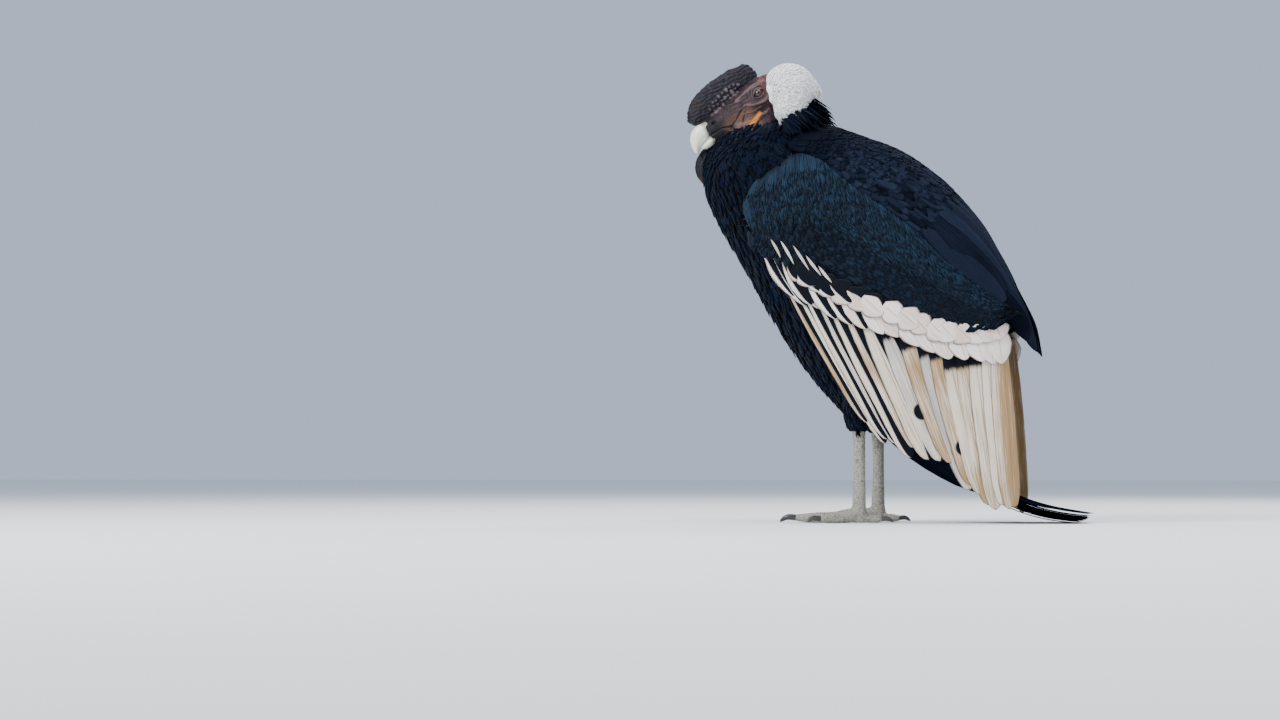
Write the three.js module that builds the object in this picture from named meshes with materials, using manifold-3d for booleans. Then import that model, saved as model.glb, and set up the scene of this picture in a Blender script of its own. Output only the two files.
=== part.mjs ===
// A life-size adult male Andean condor, standing upright with folded wings and the head drawn into its
// white ruff. Millimetres, +Z up, the floor at z = 0. The bird faces -X and its left side is at -Y.
import * as THREE from 'three';
import { ParametricGeometry } from 'three/addons/geometries/ParametricGeometry.js';
import { mergeVertices } from 'three/addons/utils/BufferGeometryUtils.js';
import Module from 'manifold-3d';

const wasm = await Module();
wasm.setup();

// Room kept between two sub-parts that touch, and round the head for its folds
const GAP = 0.3;
const FOLD_ROOM = 6;
const { PI, sin, cos, sqrt, min, max, abs, pow } = Math;
const degrees = THREE.MathUtils.degToRad;

// Trunk under the wings: back x, back z, breast x, breast z, half width, from the shoulders to the rump
const TRUNK = [
  [-104, 648, -196, 628, 44],
  [-66, 632, -254, 582, 74],
  [-10, 604, -260, 534, 92],
  [50, 570, -234, 472, 102],
  [98, 514, -192, 400, 107],
  [122, 444, -147, 318, 104],
  [128, 372, -99, 246, 92],
  [126, 300, -54, 192, 72],
  [120, 232, -12, 154, 48],
  [108, 178, 38, 132, 28],
];
// Neck from the throat down into the breast: nape x, nape z, throat x, throat z, half width
const NECK = [
  [-118, 668, -205, 650, 33],
  [-104, 640, -244, 612, 44],
  [-92, 610, -262, 582, 54],
  [-86, 580, -262, 552, 62],
];
// Loose fold of skin that hangs at the front of the throat
const WATTLE = [
  [-244, 612, -258, 610, 4.5],
  [-246, 598, -270, 596, 7],
  [-246, 584, -276, 580, 8],
  [-244, 568, -274, 562, 7],
  [-238, 556, -264, 548, 4],
];

// Head, in its own frame: the origin lies between the eyes and the bill points to -X
const HEAD_AT = [-170, 0, 687];
const HEAD_PITCH = 34;
const HEAD_YAW = 9;
const SKULL = [
  [47, 14, 47, -26, 20],
  [32, 24, 30, -42, 32],
  [12, 28, 10, -48, 37],
  [-12, 27, -12, -48, 36.5],
  [-36, 24, -36, -44, 30],
  [-60, 21, -60, -37, 23.5],
  [-80, 19, -80, -29, 18],
  [-101, 18, -101, -23, 14],
];
const COMB = [
  [18, 32, 10, 20, 4],
  [13, 54, 2, 18, 7],
  [-6, 64, -14, 16, 8.5],
  [-34, 66, -38, 14, 9.5],
  [-62, 66, -62, 14, 10],
  [-90, 59, -86, 14, 10],
  [-109, 47, -100, 14, 9],
  [-119, 33, -106, 15, 6.5],
];
const UPPER_BILL = [
  [-101.3, 18.5, -101.3, -7, 13],
  [-113, 19, -111, -9, 12.5],
  [-125, 14, -119, -10.5, 11],
  [-133, 4, -124.5, -13, 8.5],
  [-136.5, -7, -129, -16, 5.5],
  [-136.5, -16, -132.5, -20.5, 2.6],
];
const LOWER_BILL = [
  [-101.3, -8.4, -101.3, -22.5, 11.5],
  [-111, -10.4, -110, -23, 10],
  [-119, -12.6, -118, -21.5, 7.5],
  [-123.5, -15, -123, -18.5, 3.5],
];
const EYE_OUT = 29.5;
const EYE_RADIUS = 9;
const EYE_UP = 2;
const LID_THICK = 2.4;
const SQUARE = 0.92;
const EAR = [27, -12];
const NOSTRIL = [-86, 5];
const MOUTH = [[-99, -8], [-88, -8.5], [-76, -11], [-64, -15]];
// Folds of skin on each side: a radius, then places along it as seen from the side
const FOLDS = [
  [2.6, [-34, 12], [-16, 15], [2, 17], [16, 15]],
  [2.4, [-30, -2], [-14, -11], [4, -13], [16, -4]],
  [2.8, [-56, -20], [-40, -27], [-22, -30], [0, -29]],
];
const NODULES = [
  [-12, 27, 5],
  [-25, 25, 5.5],
  [-38, 27, 6.5],
  [-46, 18, 5],
  [-51, 27, 6],
  [-60, 17, 5.5],
  [-66, 25, 6.5],
  [-76, 17, 5],
  [-82, 23, 4.5],
];

// Ruff of white down, a horseshoe round the nape that is open at the throat
const RUFF = {
  path: [[-144, 58, 646], [-131, 61, 668], [-119, 43, 689], [-115, 0, 698]],
  radius: [18, 39, 50, 54],
  core: 0.5,
  rows: 3,
  columns: 7,
  width: 46,
  thick: 2,
  sweep: 0.6 * PI,
};

// Wing: the lower and upper edge of the dark coverts from wrist to elbow, then the tips of the secondaries
const COVERT_EDGE = [
  [-153, 117, 444], [-91, 135, 406], [-19, 147, 368], [70, 152, 330], [138, 148, 307], [200, 140, 306],
  [234, 131, 318],
];
const UPPER_EDGE = [
  [-145, 94, 552], [-76, 97, 588], [-12, 109, 542], [56, 115, 494], [134, 114, 426], [198, 108, 370],
  [238, 102, 334],
];
const SECONDARY_TIPS = [
  [23, 112, 142], [58, 112, 120], [103, 112, 100], [156, 111, 74], [192, 109, 40], [224, 106, 24],
  [250, 101, 24],
];
const WING_BULGE = 13;
const WING_THICK = 50;
const SKIRT_BULGE = 4;
// Bars of quills under the covert edge: the depths in the wing between which each lies
const BARS = { coverts: [0.4, 7], secondaries: [7.6, 15], primaries: [17.2, 24.8], from: 0.006, to: 0.09 };
const SECONDARIES = { count: 14, width: 40, depth: 10.8, roll: 8, thick: 1 };
// Rows of white coverts: reach gives how far down the skirt they end, at the wrist, the middle and the elbow
const GREATER_COVERTS = { count: 10, width: 43, depth: 5.1, roll: 4.5, thick: 0.9, reach: [0.3, 0.2, 0.24] };
const MEDIAN_COVERTS = { count: 8, width: 50, depth: 1.2, roll: 2.2, thick: 0.8, reach: [0.13, 0.1, 0.14] };

// Back ridge of the folded wings, from the nape to the tips of the longest tertials
const RIDGE = [
  [-54, 0, 640], [8, 0, 616], [65, 0, 592], [126, 0, 547], [172, 1, 497], [210, 7, 430], [248, 24, 348],
  [276, 46, 268],
];
const ROOF_EDGE = [
  [-104, 95, 598], [-62, 101, 584], [-6, 113, 540], [60, 119, 490], [134, 119, 420], [200, 113, 362],
  [246, 108, 316], [272, 102, 260],
];
const ROOF_THICK = 15;

// Tail: root on the rump, bend and tip on the floor
const TAIL = { count: 12, root: [116, 148], bend: [176, 8], tip: [352, 0.6], spread: 58, width: 27 };
const TAIL_STEP = 1.7;
const PRIMARIES = { count: 8, width: 42, roll: 8, thick: 1.1 };
// Scapulars and tertials: rows of vanes on the roof, each with where they root and end and how many they are
const ROOF_ROWS = [
  { from: 0.3, to: 0.67, count: 4, width: 37, lift: 1 },
  { from: 0.56, to: 1, count: 5, width: 33, lift: -2 },
];

// Legs
const LEG_OUT = 52;
const LEGS = { left: { x: -4, swing: 4 }, right: { x: 14, swing: -3 } };
const HOCK_UP = 146;
const ANKLE_UP = 27;
const TOES = {
  middle: { turn: 0, length: 100, radius: 11, claw: 25 },
  inner: { turn: -34, length: 72, radius: 10, claw: 23 },
  outer: { turn: 34, length: 78, radius: 9.5, claw: 20 },
  hind: { turn: 176, length: 36, radius: 8.5, claw: 17 },
};

const BLACK = { color: 0x16181c, roughness: 0.6 };
const SLATE = { color: 0x23272e, roughness: 0.55 };
const WHITE = { color: 0xd8d3c8, roughness: 0.75 };
const DOWN = { color: 0xf2f1ee, roughness: 0.95 };
const FACE = { color: 0x5c4a48, roughness: 0.7 };
const COMB_SKIN = { color: 0x33323c, roughness: 0.65 };
const IVORY = { color: 0xd9dcc9, roughness: 0.35 };
const EYE = { color: 0x1d100b, roughness: 0.1 };
const LEG_SKIN = { color: 0x8f8c82, roughness: 0.7 };
const CLAW = { color: 0x2b2927, roughness: 0.4 };

const place = ([x, y, z]) => new THREE.Vector3(x, y, z);
const mix = (a, b, s) => a + (b - a) * s;
const smooth = (a, b, s) => THREE.MathUtils.smoothstep(s, a, b);

// Seeded draws, so that each run gives the same bird
let seed = 7;
function random() {
  seed = (seed * 16807) % 2147483647;
  return seed / 2147483647;
}
const varied = (most) => (2 * random() - 1) * most;

// A smooth curve through hand-set points, evenly spaced in its parameter
function curve(points) {
  return new THREE.CatmullRomCurve3(points.map(place), false, 'catmullrom');
}

function at(path, s) {
  const inside = min(1, max(0, s));
  const found = path.getPoint(inside);
  if (s === inside) return found;
  const ahead = path.getPoint(inside + (s > 1 ? -0.01 : 0.01));
  return found.addScaledVector(ahead.sub(found), abs(s - inside) * -100);
}

// A closed triangle mesh as a solid, turned to face outwards
function solid(geometry) {
  const bare = new THREE.BufferGeometry();
  bare.setAttribute('position', geometry.getAttribute('position'));
  bare.setIndex(geometry.index);
  const merged = mergeVertices(bare, 1e-3);
  const index = merged.index.array;
  const build = (flip) => {
    const kept = [];
    for (let i = 0; i < index.length; i += 3) {
      const [a, b, c] = [index[i], index[i + 1], index[i + 2]];
      if (a !== b && b !== c && c !== a) kept.push(...(flip ? [a, c, b] : [a, b, c]));
    }
    const vertProperties = merged.attributes.position.array;
    return new wasm.Manifold(new wasm.Mesh({ numProp: 3, vertProperties, triVerts: new Uint32Array(kept) }));
  };
  const made = build(false);
  return made.volume() < 0 ? build(true) : made;
}

// The largest closed surface of a solid, with any scrap that a cut leaves dropped
function largest(made) {
  return made.decompose().reduce((a, b) => (b.volume() > a.volume() ? b : a));
}

function join(pieces) {
  return largest(wasm.Manifold.union(pieces));
}

function geometryOf(made) {
  const mesh = made.getMesh();
  const geometry = new THREE.BufferGeometry();
  geometry.setAttribute('position', new THREE.BufferAttribute(new Float32Array(mesh.vertProperties), 3));
  geometry.setIndex(new THREE.BufferAttribute(new Uint32Array(mesh.triVerts), 1));
  geometry.computeVertexNormals();
  return geometry;
}

// A body lofted through rings, each an oval between an upper and a lower point, closed by its own end caps
function loft(stations, { rings, sides, grow = 0, square = 1, dome = [0, 0], shape = () => 1 }) {
  const upper = curve(stations.map(([x, z]) => [x, 0, z]));
  const lower = curve(stations.map(([, , x, z, half]) => [x, half, z]));
  const last = rings + 1;
  const ovalled = (value) => Math.sign(value) * pow(abs(value), square);
  return solid(new ParametricGeometry((u, v, target) => {
    const row = Math.round(v * last);
    const s = (min(rings, max(1, row)) - 1) / (rings - 1);
    const top = upper.getPoint(s);
    const bottom = lower.getPoint(s);
    const centre = new THREE.Vector3((top.x + bottom.x) / 2, 0, (top.z + bottom.z) / 2);
    const arm = new THREE.Vector3((top.x - bottom.x) / 2, 0, (top.z - bottom.z) / 2);
    if (row === 0 || row === last) {
      const end = row === 0 ? 0 : 1;
      const near = end ? 0.98 : 0.02;
      const next = upper.getPoint(near).add(lower.getPoint(near)).multiplyScalar(0.5);
      next.y = 0;
      const away = centre.clone().sub(next).normalize();
      target.copy(centre).addScaledVector(away, dome[end] + grow);
      return;
    }
    const angle = u * 2 * PI;
    const stretch = shape(s, angle) * (1 + grow / arm.length());
    target.copy(centre).addScaledVector(arm, ovalled(cos(angle)) * stretch);
    target.y = ovalled(sin(angle)) * (bottom.y * shape(s, angle) + grow);
  }, sides, last));
}

// A sheet closed between two surfaces that share one triangulation, with walls round its border
function plate(front, back, across, along) {
  const near = new ParametricGeometry(front, across, along);
  const far = new ParametricGeometry(back, across, along);
  const count = near.attributes.position.count;
  const index = near.index.array;
  const faces = [];
  for (let i = 0; i < index.length; i += 3) {
    const [a, b, c] = [index[i], index[i + 1], index[i + 2]];
    faces.push(a, b, c, c + count, b + count, a + count);
  }
  const row = across + 1;
  const border = [];
  for (let j = 0; j < across; j++) border.push([j, j + 1], [along * row + j + 1, along * row + j]);
  for (let i = 0; i < along; i++) {
    border.push([i * row + across, (i + 1) * row + across], [(i + 1) * row, i * row]);
  }
  for (const [a, b] of border) faces.push(b, a, a + count, b, a + count, b + count);
  const geometry = new THREE.BufferGeometry();
  const places = [...near.attributes.position.array, ...far.attributes.position.array];
  geometry.setAttribute('position', new THREE.Float32BufferAttribute(places, 3));
  geometry.setIndex(faces);
  return solid(geometry);
}

// A feather: a thin vane along a line, facing the way that face gives, narrow at the quill and the tip
function vane({
  line, face, width, thick = 1.1, roll = 0, tip = 0.3, quill = 0.5, along = 4, floor = null,
}) {
  const surface = (sideOf) => (u, v, target) => {
    const s = 1 - pow(1 - v, 1.4);
    const here = line(s);
    const d = line(min(1, s + 0.02)).sub(line(max(0, s - 0.02))).normalize();
    const n = face(s);
    n.addScaledVector(d, -n.dot(d)).normalize().applyAxisAngle(d, roll);
    const side = new THREE.Vector3().crossVectors(d, n);
    const rise = mix(quill, 1, sin((PI / 2) * min(1, s / 0.55)));
    const fall = s < 0.72 ? 1 : mix(tip, 1, sqrt(max(0, 1 - pow((s - 0.72) / 0.28, 2))));
    const edge = 2 * u - 1;
    target.copy(here).addScaledVector(side, (edge * width * rise * fall) / 2);
    target.addScaledVector(n, sideOf * thick * mix(0.62, 0.32, s));
    if (floor !== null) target.z = max(target.z, floor + (sideOf > 0 ? thick * 0.6 : 0));
  };
  return plate(surface(1), surface(-1), 1, along);
}

// A line that bends once between its ends
function bent(root, bend, tip) {
  const path = new THREE.QuadraticBezierCurve3(root, bend, tip);
  return (s) => path.getPoint(s);
}

const trunk = (grow = 0) => loft(TRUNK, { rings: 13, sides: 16, grow, dome: [16, 6] });
const neck = (grow = 0) => loft(NECK, { rings: 4, sides: 14, grow, dome: [4, 4] });

// Frame of the head: pitch first, then the turn towards the bird's left
const headFrame = new THREE.Matrix4().compose(
  place(HEAD_AT),
  new THREE.Quaternion().setFromEuler(new THREE.Euler(0, -degrees(HEAD_PITCH), degrees(HEAD_YAW), 'ZYX')),
  new THREE.Vector3(1, 1, 1),
);
const moved = (made, matrix) => made.transform(matrix.elements);

const skull = (grow = 0) => loft(SKULL, { rings: 11, sides: 16, grow, dome: [11, 0], square: SQUARE });
const upperBill = (grow = 0) => loft(UPPER_BILL, { rings: 9, sides: 12, grow, dome: [0, 2] });
const lowerBill = (grow = 0) => loft(LOWER_BILL, { rings: 6, sides: 10, grow, dome: [0, 1] });

function ball(radius, x, y, z, detail = [8, 6], stretch = [1, 1, 1]) {
  const geometry = new THREE.SphereGeometry(radius, ...detail);
  geometry.scale(...stretch);
  geometry.translate(x, y, z);
  return solid(geometry);
}

// A rounded fold of skin along a few points
function fold(points, radius) {
  const ring = new THREE.Shape().absarc(0, 0, radius, 0, 2 * PI);
  const path = new THREE.CatmullRomCurve3(points.map(place));
  return solid(new THREE.ExtrudeGeometry(ring, { steps: 3, curveSegments: 3, extrudePath: path }));
}

// The place on the side of the skull that is seen at x, z from the side, moved out along Y
const skullTop = curve(SKULL.map(([x, z]) => [x, 0, z]));
const skullBase = curve(SKULL.map(([, , x, z, half]) => [x, half, z]));
function onSkull(x, z, side, out = 0) {
  let [low, high] = [0, 1];
  for (let i = 0; i < 20; i++) {
    const s = (low + high) / 2;
    if (skullTop.getPoint(s).x + skullBase.getPoint(s).x > 2 * x) low = s;
    else high = s;
  }
  const top = skullTop.getPoint(low);
  const base = skullBase.getPoint(low);
  const height = min(1, abs(2 * z - top.z - base.z) / (top.z - base.z));
  const half = base.y * pow(1 - pow(height, 2 / SQUARE), SQUARE / 2);
  return [x, side * (half + out), z];
}

function nodules(side) {
  return NODULES.map(([x, z, radius]) => ball(radius, ...onSkull(x, z, side, -radius * 0.3), [6, 4]));
}

function head() {
  const added = [];
  const cuts = [];
  for (const side of [-1, 1]) {
    const lid = new THREE.TorusGeometry(EYE_RADIUS - 0.5, LID_THICK, 4, 10);
    lid.rotateX(PI / 2);
    lid.scale(1.12, 1, 0.86);
    lid.translate(0, side * (EYE_OUT + 6), EYE_UP);
    added.push(solid(lid));
    cuts.push(ball(EYE_RADIUS + 2 * GAP, 0, side * EYE_OUT, EYE_UP, [10, 7]));
    const earPlace = onSkull(...EAR, side);
    const ear = new THREE.TorusGeometry(5, 1.6, 3, 7);
    ear.rotateX(PI / 2);
    ear.translate(...earPlace);
    added.push(solid(ear));
    cuts.push(ball(4, ...earPlace, [6, 4]));
    for (const [radius, ...places] of FOLDS) {
      added.push(fold(places.map(([x, z]) => onSkull(x, z, side, -radius * 0.2)), radius));
    }
    const mouth = fold(MOUTH.map(([x, z]) => onSkull(x, z, side, 0.8)), 1.5);
    cuts.push(mouth, ball(3, ...onSkull(...NOSTRIL, side), [8, 4], [1, 1, 1]));
  }
  return largest(join([skull(), ...added]).subtract(wasm.Manifold.union(cuts)));
}

function comb() {
  const shape = (s, angle) => 1 + 0.05 * sin(s * 19) * cos(angle);
  const whole = loft(COMB, { rings: 13, sides: 12, dome: [1, 3], shape });
  const lumpy = wasm.Manifold.union([whole, ...nodules(-1), ...nodules(1)]);
  return largest(lumpy.subtract(wasm.Manifold.union([skull(GAP), upperBill(GAP)])));
}

// The horseshoe of the ruff: a point at share a round it, angle b round the tube and a share of its radius
const ruffPath = curve([...RUFF.path, ...RUFF.path.slice(0, -1).reverse().map(([x, y, z]) => [x, -y, z])]);
const ruffRadii = [...RUFF.radius, ...RUFF.radius.slice(0, -1).reverse()];
function ruffPoint(a, b, share) {
  const centre = ruffPath.getPoint(a);
  const along = ruffPath.getTangent(a);
  const out = new THREE.Vector3(0, 0, 1).cross(along).negate().normalize();
  if (out.dot(new THREE.Vector3(centre.x + 150, centre.y, 0)) < 0) out.negate();
  const top = new THREE.Vector3().crossVectors(out, along).normalize();
  if (top.z < 0) top.negate();
  const k = a * (ruffRadii.length - 1);
  const low = min(ruffRadii.length - 2, Math.floor(k));
  const radius = mix(ruffRadii[low], ruffRadii[low + 1], smooth(0, 1, k - low)) * share;
  return centre.addScaledVector(out, -cos(b) * radius).addScaledVector(top, sin(b) * radius);
}

function ruff(cuts) {
  const rows = 12;
  const core = solid(new ParametricGeometry((u, v, target) => {
    const row = Math.round(v * (rows + 2));
    const a = (min(rows + 1, max(1, row)) - 1) / rows;
    const share = row === 0 || row === rows + 2 ? 0 : RUFF.core;
    target.copy(ruffPoint(a, u * 2 * PI, share));
  }, 10, rows + 2));
  const locks = [];
  for (let row = 0; row < RUFF.rows; row++) {
    for (let column = 0; column < RUFF.columns; column++) {
      const a = (column + (row % 2 ? 0.75 : 0.25)) / (RUFF.columns - 0.5);
      const b = PI * (0.1 + 0.36 * row) + varied(0.06);
      const reach = 1 - 0.07 * random();
      const place = (share, far) => ruffPoint(min(1, max(0, a)), b + RUFF.sweep * share, far);
      const line = bent(place(0, RUFF.core * 0.86), place(0.38, 0.96), place(1, reach));
      locks.push(vane({
        line,
        face: (s) => ruffPoint(a, b + RUFF.sweep * s, 1).sub(ruffPoint(a, b + RUFF.sweep * s, 0.5)),
        width: RUFF.width * mix(0.45, 1, sin(PI * a)),
        thick: RUFF.thick,
        roll: degrees(11),
        tip: 0.12,
        quill: 0.7,
        along: 3,
      }));
    }
  }
  return largest(join([core, ...locks]).subtract(wasm.Manifold.union(cuts)));
}

// The wing's outer surface: u from wrist to elbow, v from the lower to the upper edge
const covertEdge = curve(COVERT_EDGE);
const upperEdge = curve(UPPER_EDGE);
const secondaryTips = curve(SECONDARY_TIPS);
function wingSurface(u, v, target = new THREE.Vector3()) {
  target.copy(at(covertEdge, u)).lerp(at(upperEdge, u), v);
  target.y += WING_BULGE * sin(PI * min(1, max(0, v)));
  target.x -= 14 * sin(PI * min(1, max(0, v))) * (1 - smooth(0, 0.2, u));
  return target;
}

// The skirt of feathers under the coverts: w from the covert edge down to the tips of the secondaries
function skirt(u, w, depth = 0) {
  const found = at(covertEdge, u).lerp(at(secondaryTips, u), w);
  found.y += SKIRT_BULGE * sin(PI * min(1, max(0, w))) - depth;
  return found;
}

// The way the skirt faces: square to both of its directions
function skirtNormal(u, w) {
  const along = skirt(min(1, u + 0.04), w).sub(skirt(max(0, u - 0.04), w));
  const down = skirt(u, w + 0.02).sub(skirt(u, w - 0.02));
  return along.cross(down).normalize();
}

function shield(grow = 0) {
  const thickness = (u, v) => {
    const across = mix(27, WING_THICK, sin(PI * min(1, max(0, v)))) * (1 - 0.72 * smooth(0.6, 1, v));
    return grow * 2 + across * mix(0.4, 1, smooth(0, 0.14, u)) * mix(0.55, 1, smooth(0, 0.1, 1 - u));
  };
  const wider = grow / 100;
  const outer = (u, v, target) => {
    wingSurface(mix(-wider, 1 + wider, u), mix(0.012 - wider, 1 + wider, v), target);
    target.y += grow;
  };
  const inner = (u, v, target) => {
    outer(u, v, target);
    target.y -= thickness(u, v);
  };
  return plate(outer, inner, 10, 6);
}

// A bar of quills along the covert edge, between two depths in the wing
function quillBar(from, to, [near, far]) {
  const outer = (u, v, target) => target.copy(skirt(mix(from, to, u), mix(BARS.from, BARS.to, v), near));
  const inner = (u, v, target) => target.copy(skirt(mix(from, to, u), mix(BARS.from, BARS.to, v), far));
  return plate(outer, inner, 8, 1);
}

// One row of vanes in the skirt, the ones nearer the elbow over the ones nearer the wrist
function skirtRow({ count, width, depth, roll, thick, reach = [1, 1, 1] }) {
  const vanes = [];
  for (let i = 0; i < count; i++) {
    const u = (0.97 * (i + 0.5)) / count;
    const share = u < 0.5 ? mix(reach[0], reach[1], u * 2) : mix(reach[1], reach[2], u * 2 - 1);
    const end = share * (1 + varied(0.03));
    const narrow = reach[0] < 1 ? 1 : mix(0.78, 1, sin(PI * u));
    vanes.push(vane({
      line: (s) => skirt(u, mix(0.055, end, s), depth),
      face: (s) => skirtNormal(u, mix(0.055, end, s)),
      width: width * narrow,
      thick,
      roll: degrees(roll),
      tip: 0.35,
      quill: 0.35,
      along: reach[0] < 1 ? 3 : 4,
    }));
  }
  return vanes;
}

function wing(body) {
  return largest(shield().subtract(body));
}

function coverts() {
  const rows = [...skirtRow(GREATER_COVERTS), ...skirtRow(MEDIAN_COVERTS)];
  return largest(join([quillBar(0, 0.97, BARS.coverts), ...rows]).subtract(shield(GAP)));
}

const secondaries = () => join([quillBar(0, 0.97, BARS.secondaries), ...skirtRow(SECONDARIES)]);

// Primaries leave the wing near the wrist, the inner over the outer, and their ends lie just above the tail
function primaries() {
  const vanes = [];
  for (let i = 0; i < PRIMARIES.count; i++) {
    const k = i / (PRIMARIES.count - 1);
    const root = skirt(mix(0.05, 0.42, k), 0.055, 20.5);
    const bend = new THREE.Vector3(mix(38, 108, k), mix(85, 84, k), mix(42, 68, k));
    const tip = new THREE.Vector3(mix(358, 292, k), mix(36, 69, k), mix(17, 45, k));
    vanes.push(vane({
      line: bent(root, bend, tip),
      face: (s) => skirtNormal(mix(0.05, 0.42, k), 0.1).lerp(new THREE.Vector3(0, 1, 0.1), smooth(0, 0.4, s))
        .lerp(new THREE.Vector3(0, 0.15, 1), smooth(0.45, 0.95, s)),
      width: PRIMARIES.width,
      thick: PRIMARIES.thick,
      roll: degrees(PRIMARIES.roll),
      tip: 0.25,
      quill: 0.36,
      along: 5,
    }));
  }
  return join([quillBar(0.02, 0.45, BARS.primaries), ...vanes]);
}

// The roof of scapulars: u from the nape to the tips of the tertials, w from the ridge to the wing
const ridge = curve(RIDGE);
const roofEdge = curve(ROOF_EDGE);
function roof(u, w, lift = 0) {
  const top = at(ridge, u);
  const side = at(roofEdge, u);
  const angle = (w * PI) / 2;
  return new THREE.Vector3(
    mix(side.x, top.x, cos(angle)) + lift * cos(angle) * 0.6,
    mix(top.y, side.y, sin(angle)) + lift * sin(angle),
    mix(side.z, top.z, cos(angle)) + lift * cos(angle) * 0.8,
  );
}

function scapulars(cut) {
  const core = (lift) => (u, v, target) => {
    target.copy(roof(mix(0, 0.74, u), mix(0, 0.98, v), lift - (lift < -3 ? 0 : 3) * smooth(0.3, 0.74, u)));
    target.y = max(target.y, GAP / 2);
  };
  const pieces = [plate(core(0), core(-ROOF_THICK), 7, 5)];
  for (const { from, to, count, width, lift } of ROOF_ROWS) {
    for (let i = 0; i < count; i++) {
      const w = mix(0.06, 1, (i + 0.5) / count);
      const end = to - 0.06 * w * w + varied(0.012);
      const raised = (s) => roof(mix(from, end, s), w, lift + mix(-3.5, 1.5, smooth(0, 0.5, s)));
      pieces.push(vane({
        line: raised,
        face: (s) => roof(mix(from, end, s), w, 10).sub(roof(mix(from, end, s), w)),
        width,
        thick: 1.2,
        roll: degrees(8),
        tip: 0.3,
        quill: 0.5,
      }));
    }
  }
  const otherSide = solid(new THREE.BoxGeometry(1000, 200, 1500).translate(0, GAP / 2 - 100, 400));
  return largest(join(pieces).subtract(wasm.Manifold.union([cut, otherSide])));
}

// Tail: the middle pair on top, each feather outwards from it one step lower, the ends on the floor
function tail() {
  const { count, root, bend, tip, spread, width } = TAIL;
  const vanes = [];
  for (let i = 0; i < count; i++) {
    const across = (2 * i) / (count - 1) - 1;
    const layer = TAIL_STEP * ((i < count / 2 ? i : count - 1 - i) + (i === count / 2 ? 1 : 0));
    vanes.push(vane({
      line: bent(
        new THREE.Vector3(root[0] + layer - 5, across * 22, root[1] + layer - 5),
        new THREE.Vector3(bend[0] + layer * 0.9, across * spread * 0.85, bend[1] + layer * 1.1),
        new THREE.Vector3(tip[0] - 16 * across * across, across * spread, tip[1] + layer),
      ),
      face: (s) => new THREE.Vector3(mix(0.7, 0.05, s), 0, mix(0.7, 1, s)),
      width,
      thick: 1.1,
      roll: degrees(Math.sign(across) * 2.5),
      tip: 0.45,
      quill: 0.4,
      floor: 0,
    }));
  }
  const rump = [[96, 0, 166], [116, 0, 147], [134, 0, 124]];
  const stump = limb(rump, [16, 23, 24, 15], { sides: 12, squash: 0.74 });
  return join([stump, ...vanes]);
}

// A tapered limb between two points, with an oval section
function limb(points, radii, { sides = 10, squash = 1 } = {}) {
  const path = curve(points);
  const rings = radii.length;
  return solid(new ParametricGeometry((u, v, target) => {
    const row = Math.round(v * (rings + 1));
    const k = min(rings, max(1, row)) - 1;
    const s = k / (rings - 1);
    path.getPoint(s, target);
    if (row === 0 || row === rings + 1) return;
    const d = path.getTangent(s);
    const flat = new THREE.Vector3(0, 0, 1).cross(d);
    if (flat.lengthSq() < 0.2) flat.set(0, 1, 0);
    flat.normalize();
    const rise = new THREE.Vector3().crossVectors(d, flat);
    target.addScaledVector(flat, cos(u * 2 * PI) * radii[k]);
    target.addScaledVector(rise, sin(u * 2 * PI) * radii[k] * squash);
  }, sides, rings + 1));
}

const underFloor = () => solid(new THREE.BoxGeometry(2000, 2000, 200).translate(0, 0, -100));

function toe({ turn, length, radius }, x, y, swing) {
  const angle = PI + degrees(turn + swing);
  const away = (far, up) => [x + cos(angle) * far, y + sin(angle) * far, up];
  const places = [[0, 1.15 * radius + 2], [0.35, 0.86 * radius], [0.7, 0.7 * radius], [1, 0.72 * radius]];
  return limb(
    places.map(([far, up]) => away(length * far, up)),
    [radius, radius * 0.96, radius * 0.78, radius * 0.84, radius * 0.7, radius * 0.56],
    { sides: 6, squash: 0.92 },
  );
}

function claw({ turn, length, radius, claw: reach }, x, y, swing) {
  const angle = PI + degrees(turn + swing);
  const away = (far, up) => [x + cos(angle) * far, y + sin(angle) * far, up];
  return limb(
    [away(length + GAP, radius * 0.72), away(length + reach * 0.55, radius * 0.78), away(length + reach, 1.6)],
    [radius * 0.46, radius * 0.42, 1],
    { sides: 6 },
  );
}

function leg(name, side, body) {
  const { x, swing } = LEGS[name];
  const y = side * LEG_OUT;
  const turned = (t) => ({ ...t, turn: t.turn * side });
  const thigh = limb(
    [[x + 6, y, 285], [x + 4, y, 215], [x, y, 165], [x, y, HOCK_UP]],
    [34, 33, 30, 25, 20, 15],
    { sides: 14 },
  ).subtract(body);
  const tarsus = limb(
    [[x, y, HOCK_UP - GAP], [x + 1, y, 90], [x, y, ANKLE_UP + GAP]],
    [12.5, 10, 9, 9.5, 11],
    { sides: 9 },
  );
  const parts = [limb([[x, y, ANKLE_UP], [x, y, 14], [x, y, -2]], [11, 13.5, 13], { sides: 8 })];
  for (const t of Object.values(TOES)) parts.push(toe(turned(t), x, y, swing));
  const foot = join(parts).subtract(underFloor());
  const claws = Object.entries(TOES).map(
    ([toeName, t]) => [toeName, claw(turned(t), x, y, swing).subtract(underFloor())],
  );
  return { thigh: largest(thigh), tarsus, foot: largest(foot), claws };
}

// Assembly
const bird = new THREE.Group();
function add(name, made, finish, mirrored = false) {
  const mesh = new THREE.Mesh(geometryOf(made), new THREE.MeshStandardMaterial({ metalness: 0, ...finish }));
  mesh.name = name;
  if (mirrored) mesh.scale.y = -1;
  bird.add(mesh);
}

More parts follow.
